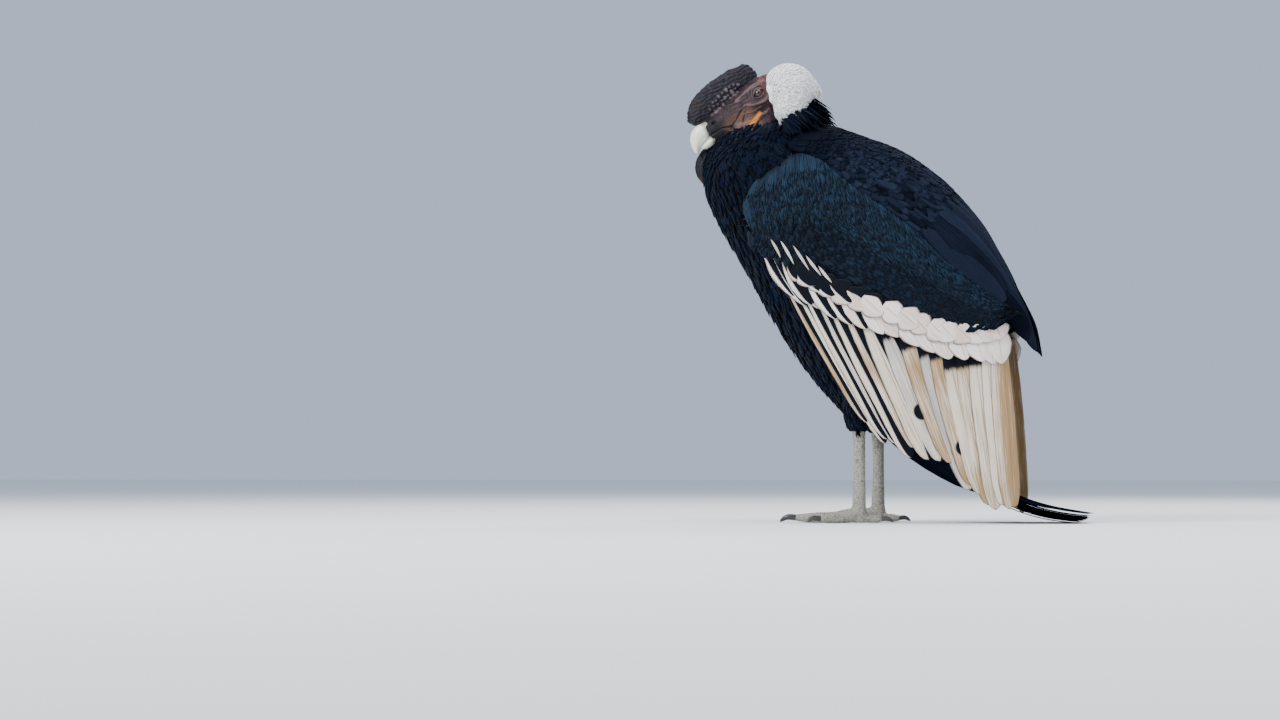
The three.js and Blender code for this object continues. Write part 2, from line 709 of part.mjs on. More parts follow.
const trunkGrown = trunk(GAP);
const headRoom = moved(wasm.Manifold.union([skull(FOLD_ROOM), lowerBill(GAP)]), headFrame);
const neckGrown = neck(GAP);
const headWhole = moved(head(), headFrame);
const legs = { left: leg('left', -1, trunkGrown), right: leg('right', 1, trunkGrown) };

add('trunk', largest(trunk().subtract(headRoom)), BLACK);
add('neck', largest(neck().subtract(wasm.Manifold.union([trunkGrown, headRoom]))), FACE);
add('wattle', largest(loft(WATTLE, { rings: 7, sides: 10, dome: [2, 2] })
  .subtract(wasm.Manifold.union([trunkGrown, neckGrown, headRoom]))), FACE);
add('head', headWhole, FACE);
add('comb', moved(comb(), headFrame), COMB_SKIN);
add('bill_upper', moved(upperBill(), headFrame), IVORY);
add('bill_lower', moved(lowerBill(), headFrame), IVORY);
for (const [name, side] of [['left', -1], ['right', 1]]) {
  add(`eye_${name}`, moved(ball(EYE_RADIUS, 0, side * EYE_OUT, EYE_UP, [10, 7]), headFrame), EYE);
}
add('ruff', ruff([trunkGrown, neckGrown, headRoom]), DOWN);
const wingSolid = wing(trunkGrown);
const covertSolid = coverts();
const secondarySolid = secondaries();
const primarySolid = primaries();
const scapularSolid = scapulars(wasm.Manifold.union([trunkGrown, shield(GAP)]));
for (const [name, mirrored] of [['left', true], ['right', false]]) {
  add(`wing_${name}`, wingSolid, SLATE, mirrored);
  add(`coverts_${name}`, covertSolid, WHITE, mirrored);
  add(`secondaries_${name}`, secondarySolid, WHITE, mirrored);
  add(`primaries_${name}`, primarySolid, BLACK, mirrored);
  add(`scapulars_${name}`, scapularSolid, SLATE, mirrored);
}
add('tail', largest(tail().subtract(trunkGrown)), BLACK);
for (const [name, made] of Object.entries(legs)) {
  add(`thigh_${name}`, made.thigh, BLACK);
  add(`tarsus_${name}`, made.tarsus, LEG_SKIN);
  add(`foot_${name}`, made.foot, LEG_SKIN);
  for (const [toeName, piece] of made.claws) add(`claw_${toeName}_${name}`, piece, CLAW);
}

// The origin lies on the floor under the middle of the bird
const box = new THREE.Box3().setFromObject(bird);
bird.position.x = -(box.min.x + box.max.x) / 2;
bird.position.y = -(box.min.y + box.max.y) / 2;

export default bird;
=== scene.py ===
import math

import bpy
import numpy as np
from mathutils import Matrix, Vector


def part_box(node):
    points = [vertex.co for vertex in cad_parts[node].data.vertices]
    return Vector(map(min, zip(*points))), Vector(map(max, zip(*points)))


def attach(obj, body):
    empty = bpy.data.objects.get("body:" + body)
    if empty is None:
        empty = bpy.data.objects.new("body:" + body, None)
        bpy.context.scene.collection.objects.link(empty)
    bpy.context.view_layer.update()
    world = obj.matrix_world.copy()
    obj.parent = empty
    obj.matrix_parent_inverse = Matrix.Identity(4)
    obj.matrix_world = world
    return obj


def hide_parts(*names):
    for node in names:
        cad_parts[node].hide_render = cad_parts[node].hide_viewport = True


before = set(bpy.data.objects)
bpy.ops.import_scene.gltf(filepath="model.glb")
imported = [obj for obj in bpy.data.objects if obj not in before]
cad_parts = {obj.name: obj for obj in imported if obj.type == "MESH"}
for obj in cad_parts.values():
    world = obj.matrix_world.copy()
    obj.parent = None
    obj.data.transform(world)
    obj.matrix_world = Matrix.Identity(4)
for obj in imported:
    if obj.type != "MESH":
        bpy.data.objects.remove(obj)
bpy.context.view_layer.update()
draw = np.random.default_rng(11)

# Shapes are worked out in millimetres, with the bird facing -X, and the right side at +Y.
# The head has a frame of its own: its origin lies between the eyes and the bill points to -X.
# Its eyes lie out to each side and up from there, in millimetres; pitch and yaw are in degrees.
headPlace = {"at": (-170, 0, 687), "pitch": 34, "yaw": 9, "eyeOut": 29.5, "eyeUp": 2, "eyeRadius": 9}
sideSign = {"left": -1, "right": 1}


def turnOf(pitch, yaw):
    # Rotation matrix: first down about Y by the pitch, then about Z by the yaw
    p, w = math.radians(-pitch), math.radians(yaw)
    aboutY = np.array([[math.cos(p), 0, math.sin(p)], [0, 1, 0], [-math.sin(p), 0, math.cos(p)]])
    aboutZ = np.array([[math.cos(w), -math.sin(w), 0], [math.sin(w), math.cos(w), 0], [0, 0, 1]])
    return aboutZ @ aboutY


headTurn = turnOf(headPlace["pitch"], headPlace["yaw"])


def fromHead(points):
    # Turned with the head, then moved to its place; toHead goes back
    return points @ headTurn.T + np.array(headPlace["at"], float)


def toHead(points):
    return (points - np.array(headPlace["at"], float)) @ headTurn


def eyeMiddle():
    # The middle of the two eyes of the frame, in millimetres of the row frame
    corners = [np.array(corner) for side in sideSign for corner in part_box(f"eye_{side}")]
    return sum(corners) / 4 * 1000


# How far the bird stands from its own origin in the row frame
bodyShift = eyeMiddle() - fromHead(np.array([0, 0, headPlace["eyeUp"]]))
bodyShift[1:] = 0


# Numbers

def mix(a, b, s):
    # From a at 0 to b at 1, in a straight line
    return a + (b - a) * s


def smooth(a, b, x):
    # 0 up to a, 1 from b on, and 3 t squared - 2 t cubed between them
    t = np.clip((x - a) / (b - a), 0, 1)
    return t * t * (3 - 2 * t)


def unit(v):
    return v / np.maximum(np.linalg.norm(v, axis=-1, keepdims=True), 1e-9)


def bell(x, width):
    # 1 at 0, falling off on both sides: e to the power of minus x over width, squared
    return np.exp(-(x / width) ** 2)


def paired(u, v):
    # Both parameters as whole arrays of one shape
    return np.broadcast_arrays(np.asarray(u, float), np.asarray(v, float))


def curve(points, s):
    # Cubic curve through given points, its slope at each one half the step between the two beside it;
    # it goes on straight outside 0 to 1
    p = np.asarray(points, float)
    p = np.vstack([2 * p[0] - p[1], p, 2 * p[-1] - p[-2]])
    s = np.asarray(s, float)

    def inside(x):
        x = x * (len(p) - 3)
        i = np.minimum(x.astype(int), len(p) - 4)
        t = (x - i)[..., None]
        a, b, c, d = p[i], p[i + 1], p[i + 2], p[i + 3]
        bent = (2 * a - 5 * b + 4 * c - d) * t**2 + (3 * b - a - 3 * c + d) * t**3
        return 0.5 * (2 * b + (c - a) * t + bent)

    kept = np.clip(s, 0, 1)
    found = inside(kept)
    ahead = inside(kept + np.where(s > 1, -0.01, 0.01))
    return found + (ahead - found) * (np.abs(s - kept) * -100)[..., None]


def loft(stations, s, angle, grow=0, square=1):
    # Oval rings: centre + half height x cos(angle) + half width x sin(angle), each row of the table
    # holding the top x and z, the bottom x and z, and the half width
    rows = np.asarray(stations, float)
    s, angle = paired(s, angle)
    top, bottom = curve(rows[:, 0:2], s), curve(rows[:, 2:4], s)
    half = curve(rows[:, 4:5], s)[..., 0]
    centre, arm = (top + bottom) / 2, (top - bottom) / 2
    bend = lambda value: np.sign(value) * np.abs(value) ** square
    reach = bend(np.cos(angle)) * (1 + grow / np.maximum(np.linalg.norm(arm, axis=-1), 1))
    flat = centre + arm * reach[..., None]
    return np.stack([flat[..., 0], bend(np.sin(angle)) * (half + grow), flat[..., 1]], -1)


def normalOn(surface, u, v):
    # Cross product of the two directions of the surface
    e = 2e-3
    across = surface(u + e, v) - surface(u - e, v)
    down = surface(u, v + e) - surface(u, v - e)
    return unit(np.cross(across, down))


def ripple(points, size, seed=0):
    # Smooth noise: six sine waves of about the size, each in its own direction, from about -1 to 1
    source = np.random.default_rng(seed)
    total = np.zeros(points.shape[:-1])
    for _ in range(6):
        way = source.normal(size=3)
        way /= np.linalg.norm(way)
        pace = source.uniform(0.6, 1.5)
        total += np.sin(points @ way * (2 * math.pi / size) * pace + source.uniform(0, 6.3))
    return total / 3.2


# Meshes

def toRow(points):
    # Millimetres of the bird's own origin to metres of the row frame
    return (points + bodyShift) / 1000


def putMesh(name, points, faces, marks=None, bakeMap=None):
    # Writes whole arrays into a mesh: points in millimetres, faces of one size, floats on the points
    mesh = bpy.data.meshes.new(name)
    mesh.vertices.add(len(points))
    mesh.vertices.foreach_set("co", toRow(points).astype(np.float32).ravel())
    corners = faces.shape[1]
    mesh.loops.add(faces.size)
    mesh.loops.foreach_set("vertex_index", faces.astype(np.int32).ravel())
    mesh.polygons.add(len(faces))
    mesh.polygons.foreach_set("loop_start", np.arange(0, faces.size, corners, dtype=np.int32))
    mesh.update(calc_edges=True)
    mesh.shade_smooth()
    for key, values in (marks or {}).items():
        mark = mesh.attributes.new(key, "FLOAT", "POINT")
        mark.data.foreach_set("value", values.astype(np.float32))
    if bakeMap is not None:
        layer = mesh.uv_layers.new(name="OFBake")
        layer.data.foreach_set("uv", bakeMap[faces.ravel()].astype(np.float32).ravel())
    obj = bpy.data.objects.new(name, mesh)
    bpy.context.scene.collection.objects.link(obj)
    return obj


def quadsOf(grid):
    # Faces of four points between the rows and columns of a grid of point numbers
    return np.stack([grid[:-1, :-1], grid[:-1, 1:], grid[1:, 1:], grid[1:, :-1]], -1).reshape(-1, 4)


def facingOut(points, faces):
    # Turns the faces round where the volume that they hold comes out negative
    a, b, c = (points[faces[:, k]] for k in range(3))
    return points, faces if (a * np.cross(b, c)).sum() > 0 else faces[:, ::-1]


def tube(rings, ends):
    # Closed skin over rings of points, with a fan to one point at each end
    count, sides = rings.shape[:2]
    grid = np.arange(count * sides).reshape(count, sides)
    near, far = grid[:-1], grid[1:]
    nextNear, nextFar = np.roll(near, -1, 1), np.roll(far, -1, 1)
    walls = np.concatenate([
        np.stack([near, nextNear, nextFar], -1).reshape(-1, 3),
        np.stack([near, nextFar, far], -1).reshape(-1, 3),
    ])
    first, last = count * sides, count * sides + 1
    caps = [np.stack([np.roll(grid[0], -1), grid[0], np.full(sides, first)], -1),
            np.stack([grid[-1], np.roll(grid[-1], -1), np.full(sides, last)], -1)]
    points = np.concatenate([rings.reshape(-1, 3), np.asarray(ends, float)])
    faces = np.concatenate([walls, *caps])
    return facingOut(points, faces)


def joined(parts):
    # Several closed skins as one list of points and faces
    starts = np.cumsum([0] + [len(points) for points, _ in parts[:-1]])
    return (np.concatenate([points for points, _ in parts]),
            np.concatenate([faces + start for (_, faces), start in zip(parts, starts)]))


def fused(name, parts, voxel, softened):
    # One skin round closed skins that overlap: a remesh with voxels of so many millimetres, then rounds
    # of smoothing; gives points and quads
    points, faces = joined(parts)
    draft = putMesh(name + "Draft", points, faces)
    remesh = draft.modifiers.new("fuse", "REMESH")
    remesh.mode = "VOXEL"
    remesh.voxel_size = voxel / 1000
    soften = draft.modifiers.new("soften", "SMOOTH")
    soften.iterations = softened
    made = draft.evaluated_get(bpy.context.evaluated_depsgraph_get()).to_mesh()
    found = np.empty(len(made.vertices) * 3, np.float32)
    made.vertices.foreach_get("co", found)
    quads = np.empty(len(made.loops), np.int32)
    made.loops.foreach_get("vertex_index", quads)
    size = len(made.loops) // len(made.polygons)
    bpy.data.objects.remove(draft)
    return found.reshape(-1, 3) * 1000.0 - bodyShift, quads.reshape(-1, size)


def pointNormals(points, faces):
    # Area-weighted normals of the points
    a, b, c = (points[faces[:, k]] for k in (0, 1, 2))
    flat = np.cross(b - a, c - a)
    total = np.zeros_like(points)
    for k in range(faces.shape[1]):
        np.add.at(total, faces[:, k], flat)
    return unit(total)


def nearLine(points, places):
    # Distance of each point from a line of straight pieces, in two dimensions
    best = np.full(len(points), 1e9)
    places = np.asarray(places, float)
    for a, b in zip(places[:-1], places[1:]):
        along = np.clip(((points - a) @ (b - a)) / ((b - a) @ (b - a)), 0, 1)
        best = np.minimum(best, np.linalg.norm(points - a - along[:, None] * (b - a), axis=-1))
    return best


# Feathers: closed thin blades, each two sheets that share their border

def outline(rows, quill, full, fall, tip, power=0.5):
    # Width along a feather: rises from the quill to 1 at full, stays, then rounds off from fall to the tip
    s = 1 - (1 - np.linspace(0, 1, rows)) ** 1.3
    rise = mix(quill, 1, np.sin(math.pi / 2 * np.minimum(1, s / full)))
    drop = np.clip((s - fall) / (1 - fall), 0, 1)
    return s, rise * mix(tip, 1, np.clip(1 - drop**2, 0, 1) ** power)


class Coat:
    # Collects feathers, and writes them as one mesh with their marks and a small patch each to bake on
    def __init__(self):
        self.points, self.faces, self.marks, self.patches, self.total = [], [], [], [], 0

    def add(self, line, normal, width, shape, thick, cup, spot, columns=3, roll=0.0,
            patch=(0.003, 0.003), marks=None, fray=0.0, mirrored=False, tone=None):
        # line and normal: count x rows x 3; width: the full width of each; shape: its share along the
        # rows; cup: how far the edges drop, as a share of the half width; fray: how ragged they are;
        # spot and patch: corner and size of each feather on the bake map
        count, rows = line.shape[:2]
        s, share = shape
        along = unit(np.gradient(line, axis=1))
        side = unit(np.cross(along, normal))
        face = np.cross(side, along)
        roll = np.broadcast_to(np.asarray(roll, float), (count,))[:, None, None]
        face = face * np.cos(roll) + side * np.sin(roll)
        side = np.cross(along, face)
        edge = np.linspace(-1, 1, columns)
        halfOf = np.broadcast_to(np.asarray(width, float), (count,)) / 2
        worn = fray * draw.uniform(-1, 0.3, (count, rows, columns)) * (np.abs(edge) > 0.8)
        half = (halfOf[:, None] * share)[:, :, None] * (1 + worn)
        offset = half[..., None] * edge[:, None]
        drop = half.max(2)[..., None, None] * cup * (edge**2)[:, None]
        middle = line[:, :, None] + side[:, :, None] * offset - face[:, :, None] * drop
        body = face[:, :, None] * (thick / 2 * (1 - edge**2))[:, None]
        upper = middle + body
        upper[:, [0, -1]] = middle[:, [0, -1]]
        lower = (middle - body)[:, 1:-1, 1:-1]
        points = np.concatenate([upper.reshape(count, -1, 3), lower.reshape(count, -1, 3)], 1)
        over = np.arange(rows * columns).reshape(rows, columns)
        under = over.copy()
        under[1:-1, 1:-1] = over.size + np.arange((rows - 2) * (columns - 2)).reshape(rows - 2, -1)
        one = np.concatenate([quadsOf(over), quadsOf(under)[:, ::-1]])
        each = points.shape[1]
        faces = (one[None] + (np.arange(count) * each)[:, None, None]).reshape(-1, 4)
        if mirrored:
            points = points * np.array([1, -1, 1])
            faces = faces[:, ::-1]
        edges = np.broadcast_to(edge, (rows, columns))
        shares = np.broadcast_to(s[:, None], (rows, columns))
        both = lambda g: np.concatenate([g.ravel(), g[1:-1, 1:-1].ravel()])
        edgeOf, shareOf = np.tile(both(edges), count), np.tile(both(shares), count)
        length = np.linalg.norm(np.diff(line, axis=1), axis=-1).sum(1)
        tone = draw.uniform(0, 1, count) if tone is None else tone
        found = {
            "edge": edgeOf,
            "share": shareOf,
            "tone": np.repeat(tone, each),
            "across": edgeOf * np.repeat(halfOf, each) / 1000,
            "along": shareOf * np.repeat(length, each) / 1000,
        }
        for key, value in (marks or {}).items():
            found[key] = np.repeat(np.broadcast_to(value, (count,)), each)
        where = np.repeat(spot, each, 0)
        where = where + np.stack([(edgeOf + 1) / 2 * patch[0], shareOf * patch[1]], -1)
        self.points.append(points.reshape(-1, 3))
        self.faces.append(faces + self.total)
        self.marks.append(found)
        self.patches.append(where)
        self.total += count * each

    def build(self, name, material, slot, nodes):
        # Writes all feathers; a mark that some of them lack is 0 there
        keys = sorted({key for found in self.marks for key in found})
        filled = {key: np.concatenate([found.get(key, np.zeros(len(found["edge"]))) for found in self.marks])
                  for key in keys}
        obj = putMesh(name, np.concatenate(self.points), np.concatenate(self.faces), filled,
                      np.concatenate(self.patches))
        finished(obj, material, nodes)


def finished(obj, material, nodes):
    # Gives a piece its material, body and the nodes that it stands for
    obj.data.materials.append(material)
    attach(obj, "root")
    if nodes:
        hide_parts(*nodes)
    print("made", obj.name, len(obj.data.polygons), "faces")


def layOn(surface, u, v, heading, length, lift, s, outwards=1, limit=1.0):
    # Shafts that run over a surface: from (u, v) each goes along the heading, solved in the two
    # directions of the surface by least squares, for its length but no further than the limit in v or a
    # quarter of it in u, raised off the surface by the lift
    e = 1e-3
    here = surface(u, v)
    du, dv = (surface(u + e, v) - here) / e, (surface(u, v + e) - here) / e
    aa, ab, bb = (du * du).sum(-1), (du * dv).sum(-1), (dv * dv).sum(-1)
    pa, pb = (heading * du).sum(-1), (heading * dv).sum(-1)
    det = aa * bb - ab * ab + 1e-6
    x, y = (pa * bb - pb * ab) / det, (pb * aa - pa * ab) / det
    scale = length / np.maximum(np.linalg.norm(x[:, None] * du + y[:, None] * dv, axis=-1), 1e-6)
    scale = np.minimum(scale, limit / np.maximum(np.maximum(np.abs(x) * 4, np.abs(y)), 1e-9))
    us = u[:, None] + (x * scale)[:, None] * s
    vs = v[:, None] + (y * scale)[:, None] * s
    normal = normalOn(surface, us, vs) * outwards
    return surface(us, vs) + normal * lift[..., None], normal


def spotAt(u, v):
    # Corner of each feather on the bake map, laid out as on the surface
    return np.stack([np.clip(u, 0, 1) * 0.9 + 0.04, np.clip(v, 0, 1) * 0.9 + 0.04], -1)


def raised(order, count, lift, stray, s):
    # Height over the skin along each feather: from sunk to raised, strayed more and more towards the tip
    return mix(*lift, s)[None] + order.uniform(*stray, (count, 1)) * s


def scattered(count, low, high, seed):
    # Even, jittered places between two corners of a parameter square: v in equal steps, u by the golden
    # share of a turn
    source = np.random.default_rng(seed)
    golden = 0.6180339887
    k = np.arange(count) + 0.5
    u = (k * golden + source.uniform(0, 1)) % 1
    v = k / count
    u = u + source.uniform(-0.2, 0.2, count) / math.sqrt(count)
    return mix(low[0], high[0], u), mix(low[1], high[1], v)


def strayed(order, heading, amount):
    # Headings turned a little at random, each by its own amount
    return unit(heading + order.normal(0, amount, heading.shape))


# Shader maths

class Value:
    # Wraps a socket, so that sums of shader values read as sums
    def __init__(self, tree, socket):
        self.tree, self.socket = tree, socket

    def apply(self, operation, *items, clamp=False):
        node = self.tree.nodes.new("ShaderNodeMath")
        node.operation = operation
        node.use_clamp = clamp
        for socket, item in zip(node.inputs, items):
            if isinstance(item, Value):
                self.tree.links.new(item.socket, socket)
            else:
                socket.default_value = item
        return Value(self.tree, node.outputs[0])

    def __add__(self, other):
        return self.apply("ADD", self, other)

    def __sub__(self, other):
        return self.apply("SUBTRACT", self, other)

    def __rsub__(self, other):
        return self.apply("SUBTRACT", other, self)

    def __mul__(self, other):
        return self.apply("MULTIPLY", self, other)

    def __truediv__(self, other):
        return self.apply("DIVIDE", self, other)

    def __pow__(self, other):
        return self.apply("POWER", self, other)

    __radd__ = __add__
    __rmul__ = __mul__

    def wave(self):
        return self.apply("SINE", self)

    def size(self):
        return self.apply("ABSOLUTE", self)

    def within(self):
        return self.apply("ADD", self, 0.0, clamp=True)


def tint(red, green, blue):
    # Screen colour from 0 to 255 to the linear colour that a shader takes
    linear = [((c / 255 + 0.055) / 1.055) ** 2.4 if c > 10 else c / 255 / 12.92 for c in (red, green, blue)]
    return (*linear, 1.0)


class Shader:
    # One material: its methods add nodes and give their outputs, and finish links those to its sockets
    def __init__(self, name, **settings):
        self.material = bpy.data.materials.new(name)
        self.material.use_nodes = True
        self.tree = self.material.node_tree
        self.surface = self.tree.nodes["Principled BSDF"]
        for key, value in settings.items():
            self.surface.inputs[key.replace("_", " ")].default_value = value

    def node(self, kind, settings, inputs, output=0):
        made = self.tree.nodes.new("ShaderNode" + kind)
        for key, value in settings.items():
            setattr(made, key, value)
        for key, value in inputs.items():
            if isinstance(value, Value):
                self.tree.links.new(value.socket, made.inputs[key])
            else:
                made.inputs[key].default_value = value
        return Value(self.tree, made.outputs[output])

    def mark(self, name):
        return self.node("Attribute", {"attribute_name": name}, {}, 2)

    def place(self):
        return self.node("TexCoord", {}, {}, 3)

    def noise(self, scale, detail=3.0, warp=0.0):
        return self.node("TexNoise", {}, {"Vector": self.place(), "Scale": scale, "Detail": detail,
                                          "Roughness": 0.55, "Distortion": warp})

    def cells(self, scale):
        # How far each place is from the border of its cell
        return self.node("TexVoronoi", {"feature": "DISTANCE_TO_EDGE"},
                         {"Vector": self.place(), "Scale": scale})

    def blend(self, factor, a, b):
        return self.node("Mix", {"data_type": "RGBA"}, {0: factor, 6: a, 7: b}, 2)

    def layers(self, colour, *others):
        # Colours laid over the first one, each by its own amount
        for amount, other in others:
            colour = self.blend(amount, colour, other)
        return colour

    def step(self, value, low, high):
        return self.node("MapRange", {"interpolation_type": "SMOOTHSTEP"},
                         {"Value": value, "From Min": low, "From Max": high})

    def bump(self, height, strength, distance):
        return self.node("Bump", {}, {"Height": height, "Strength": strength, "Distance": distance})

    def finish(self, **sockets):
        for key, value in sockets.items():
            self.tree.links.new(value.socket, self.surface.inputs[key.replace("_", " ")])
        return self.material


def barbs(shader, spacing=0.0011):
    # Height of the barbs: waves that leave the shaft at a slant, with a ridge for the shaft itself
    across, along = shader.mark("across"), shader.mark("along")
    lines = ((along - across.size() * 0.75) * (2 * math.pi / spacing)).wave()
    ridge = shader.step(across.size(), 0.0011, 0.0002)
    return lines, ridge


def streaks(shader, tone):
    # Noise drawn out along the feather, another one for each
    drawnOut = shader.node("CombineXYZ", {}, {
        "X": shader.mark("across") * 420.0, "Y": shader.mark("along") * 14.0, "Z": tone * 37.0})
    return shader.node("TexNoise", {}, {"Vector": drawnOut, "Scale": 1.0, "Detail": 4.0})


def plumage(name, dark, light, rim, roughness, sheen, rimShare, gloss, patch=None):
    # Feathers of one kind: tone from feather to feather, cloudy wear, rims of their own tint, and barbs
    # and shafts as bumps
    shader = Shader(name, Roughness=roughness, Sheen_Weight=sheen, Sheen_Roughness=0.4, IOR=1.16,
                    Specular_IOR_Level=gloss)
    tone, edge, share = shader.mark("tone"), shader.mark("edge"), shader.mark("share")
    lines, ridge = barbs(shader)
    cloud = shader.noise(28.0)
    streak = streaks(shader, tone)
    amount = (tone * 0.75 + cloud * 0.4 + streak * 0.55 - 0.45).within()
    border = (shader.step(edge.size(), 0.55, 1.0) + shader.step(share, 0.8, 1.0) * 0.8).within()
    colour = shader.layers(dark, (amount, light), (border * rimShare * (0.15 + tone * 0.85), rim),
                           ((lines * 0.5 + 0.5) * 0.22, dark))
    if patch is not None:
        # A worn, flecked spot: brown, with small pale marks, round a place on the back
        far = shader.node("VectorMath", {"operation": "DISTANCE"}, {0: shader.place(), 1: patch}, 1)
        worn = shader.step(far + (cloud - 0.5) * 0.05, 0.022, 0.006)
        flecks = shader.step(shader.noise(210.0, 3.0), 0.56, 0.66)
        colour = shader.layers(colour, (worn * 0.8, tint(66, 44, 44)),
                               (worn * flecks * 0.7, tint(150, 132, 130)))
    rough = (tone * 0.12 + (roughness - 0.06)).within()
    height = lines * 0.35 + ridge * 0.8
    return shader.finish(Base_Color=colour, Roughness=rough, Normal=shader.bump(height, 0.25, 0.0006))


def wovenPale(name, pale, warm, grey):
    # Flight feathers and big coverts: a pale outer web, a black inner web, tan and grey streaks, and a thin
    # line of painted shade along the edges where the feathers overlap
    shader = Shader(name, Roughness=0.66, Sheen_Weight=0.02, Specular_IOR_Level=0.08)
    tone, edge, share = shader.mark("tone"), shader.mark("edge"), shader.mark("share")
    inner, darkTo = shader.mark("inner"), shader.mark("darkTo")
    notchAt, notchEdge = shader.mark("notchAt"), shader.mark("notchEdge")
    lines, ridge = barbs(shader, 0.0014)
    streak = streaks(shader, tone)
    cloud = shader.noise(9.0)
    slim = ((share - 0.5) ** 2.0) * shader.step(inner, 0.9, 0.4)
    web = shader.step(edge + streak * 0.16 + slim - 0.08, inner - 0.06, inner + 0.07)
    gap = ((share - notchAt) / 0.056) ** 2.0 + ((edge - notchEdge) / 0.75) ** 2.0
    base = shader.step(share + streak * 0.05, darkTo + 0.02, darkTo - 0.02) * shader.step(darkTo, 0.01, 0.03)
    worn = (web + shader.step(gap, 1.1, 0.6) + base).within()
    colour = shader.layers(
        pale,
        (shader.step(tone * 0.5 + cloud * 0.5 + streak * 0.7, 0.78, 1.12), warm),
        (shader.step(tone * 0.6 + cloud * 0.3 + streak * 0.3, 0.5, 0.25) * 0.7, grey),
        # Painted shade: a thin grey-brown line along both edges of each feather, where the next one overlaps
        # it
        (shader.step(edge.size(), 0.86, 0.99) * 0.65, tint(70, 62, 60)),
        (ridge * 0.6, tint(120, 96, 66)),
        ((lines * 0.5 + 0.5) * 0.12, grey),
        (worn, tint(4, 9, 18)))
    height = lines * 0.3 + ridge * 0.9 + streak * 0.5
    return shader.finish(Base_Color=colour, Normal=shader.bump(height, 0.4, 0.0007))


materials = {
    "wing": plumage("wingPlumage", tint(5, 13, 25), tint(30, 55, 77), tint(3, 8, 16), 0.55, 0.03, 0.75, 0.5),
    "back": plumage("backPlumage", tint(9, 13, 22), tint(33, 40, 56), tint(46, 52, 70), 0.66, 0.0, 0.3, 0.04,
                    tuple(toRow(np.array([57.0, -16.0, 588.0])))),
    "breast": plumage("breastPlumage", tint(2, 6, 15), tint(10, 21, 42), tint(15, 27, 50),
                      0.7, 0.02, 0.4, 0.3),
    "flight": plumage("flightPlumage", tint(4, 7, 14), tint(15, 21, 34), tint(24, 30, 44),
                      0.75, 0.0, 0.25, 0.0),
    "pale": wovenPale("paleFeathers", tint(222, 210, 192), tint(160, 128, 86), tint(134, 132, 142)),
    "white": wovenPale("whiteCoverts", tint(240, 228, 220), tint(216, 192, 176), tint(172, 164, 168)),
}


def downMaterial():
    # White down: nearly even, with faint warm and grey clouds, soft and dull
    shader = Shader("whiteDown", Roughness=0.9, Sheen_Weight=0.5, Sheen_Roughness=0.6, Subsurface_Weight=0.3,
                    Subsurface_Scale=0.012, Subsurface_Radius=(1.0, 1.0, 1.0), Specular_IOR_Level=0.1)
    tone, share = shader.mark("tone"), shader.mark("share")
    cloud = shader.noise(30.0)
    colour = shader.layers(tint(255, 254, 252), ((tone * 0.5 + cloud * 0.5).within(), tint(244, 240, 236)),
                           (shader.step(share, 0.35, 0.0) * 0.2, tint(226, 220, 214)))
    return shader.finish(Base_Color=colour, Normal=shader.bump(shader.noise(900.0, 2.0), 0.15, 0.0004))


materials["down"] = downMaterial()

# Body: tables of the lofts, from the shoulders to the rump and from the nape down
trunkRings = [
    [-104, 648, -196, 628, 44], [-66, 632, -254, 582, 74], [-10, 604, -260, 534, 92],
    [50, 570, -234, 472, 102], [98, 514, -192, 400, 107], [122, 444, -147, 318, 104],
    [128, 372, -99, 246, 92], [126, 300, -54, 192, 72], [120, 232, -12, 154, 48], [108, 178, 38, 132, 28],
]
neckRings = [[-118, 668, -205, 650, 33], [-104, 640, -244, 612, 44], [-92, 610, -262, 582, 54],
             [-86, 580, -262, 552, 62]]
wattleRings = [[-244, 612, -258, 610, 4.5], [-246, 598, -270, 596, 7], [-246, 584, -276, 580, 8],
               [-244, 568, -274, 562, 7], [-238, 556, -264, 548, 4]]
skullRings = [
    [47, 14, 47, -26, 20], [32, 24, 30, -42, 32], [12, 28, 10, -48, 37], [-12, 27, -12, -48, 36.5],
    [-36, 24, -36, -44, 30], [-60, 21, -60, -37, 23.5], [-80, 19, -80, -29, 18], [-101, 18, -101, -23, 14],
]
combRings = [
    [19, 36, 10, 20, 4], [13, 57, 2, 18, 7], [-6, 64, -14, 16, 8.5], [-34, 66, -38, 14, 9.5],
    [-62, 66, -62, 14, 10], [-90, 59, -86, 14, 10], [-109, 47, -100, 14, 9], [-119, 33, -106, 15, 6.5],
]
upperBillRings = [[-101.3, 18.5, -101.3, -7, 13], [-113, 19, -111, -9, 12.5], [-125, 14, -119, -10.5, 11],
                  [-133, 4, -124.5, -13, 8.5], [-136.5, -7, -129, -16, 5.5],
                  [-136.5, -16, -132.5, -20.5, 2.6]]
lowerBillRings = [[-101.3, -8.4, -101.3, -22.5, 11.5], [-111, -10.4, -110, -23, 10],
                  [-119, -12.6, -118, -21.5, 7.5], [-123.5, -15, -123, -18.5, 3.5]]


def around(sides):
    # Even angles of a full turn, as a row
    return np.linspace(0, 2 * math.pi, sides, endpoint=False)[None]


def swollen(points, swell, s, angle):
    # Each ring scaled about its own middle
    if swell is None:
        return points
    middle = points.mean(1, keepdims=True)
    return middle + (points - middle) * swell(s, angle)[..., None]


def loftSkin(stations, rings, sides, ends, grow=0, square=1, back=0.0, swell=None):
    # Closed loft; ends: how far the two end caps bulge; back: how far it starts before its first ring
    s, angle = np.linspace(-back, 1, rings)[:, None], around(sides)
    points = swollen(loft(stations, s, angle, grow, square), swell, s, angle)
    middles = points.mean(1)
    first = middles[0] + unit(middles[0] - middles[1]) * (ends[0] + grow)
    last = middles[-1] + unit(middles[-1] - middles[-2]) * (ends[1] + grow)
    return tube(points, [first, last])


def inHead(part):
    # A skin made in the head frame, moved to its place
    points, faces = part
    return fromHead(points), faces


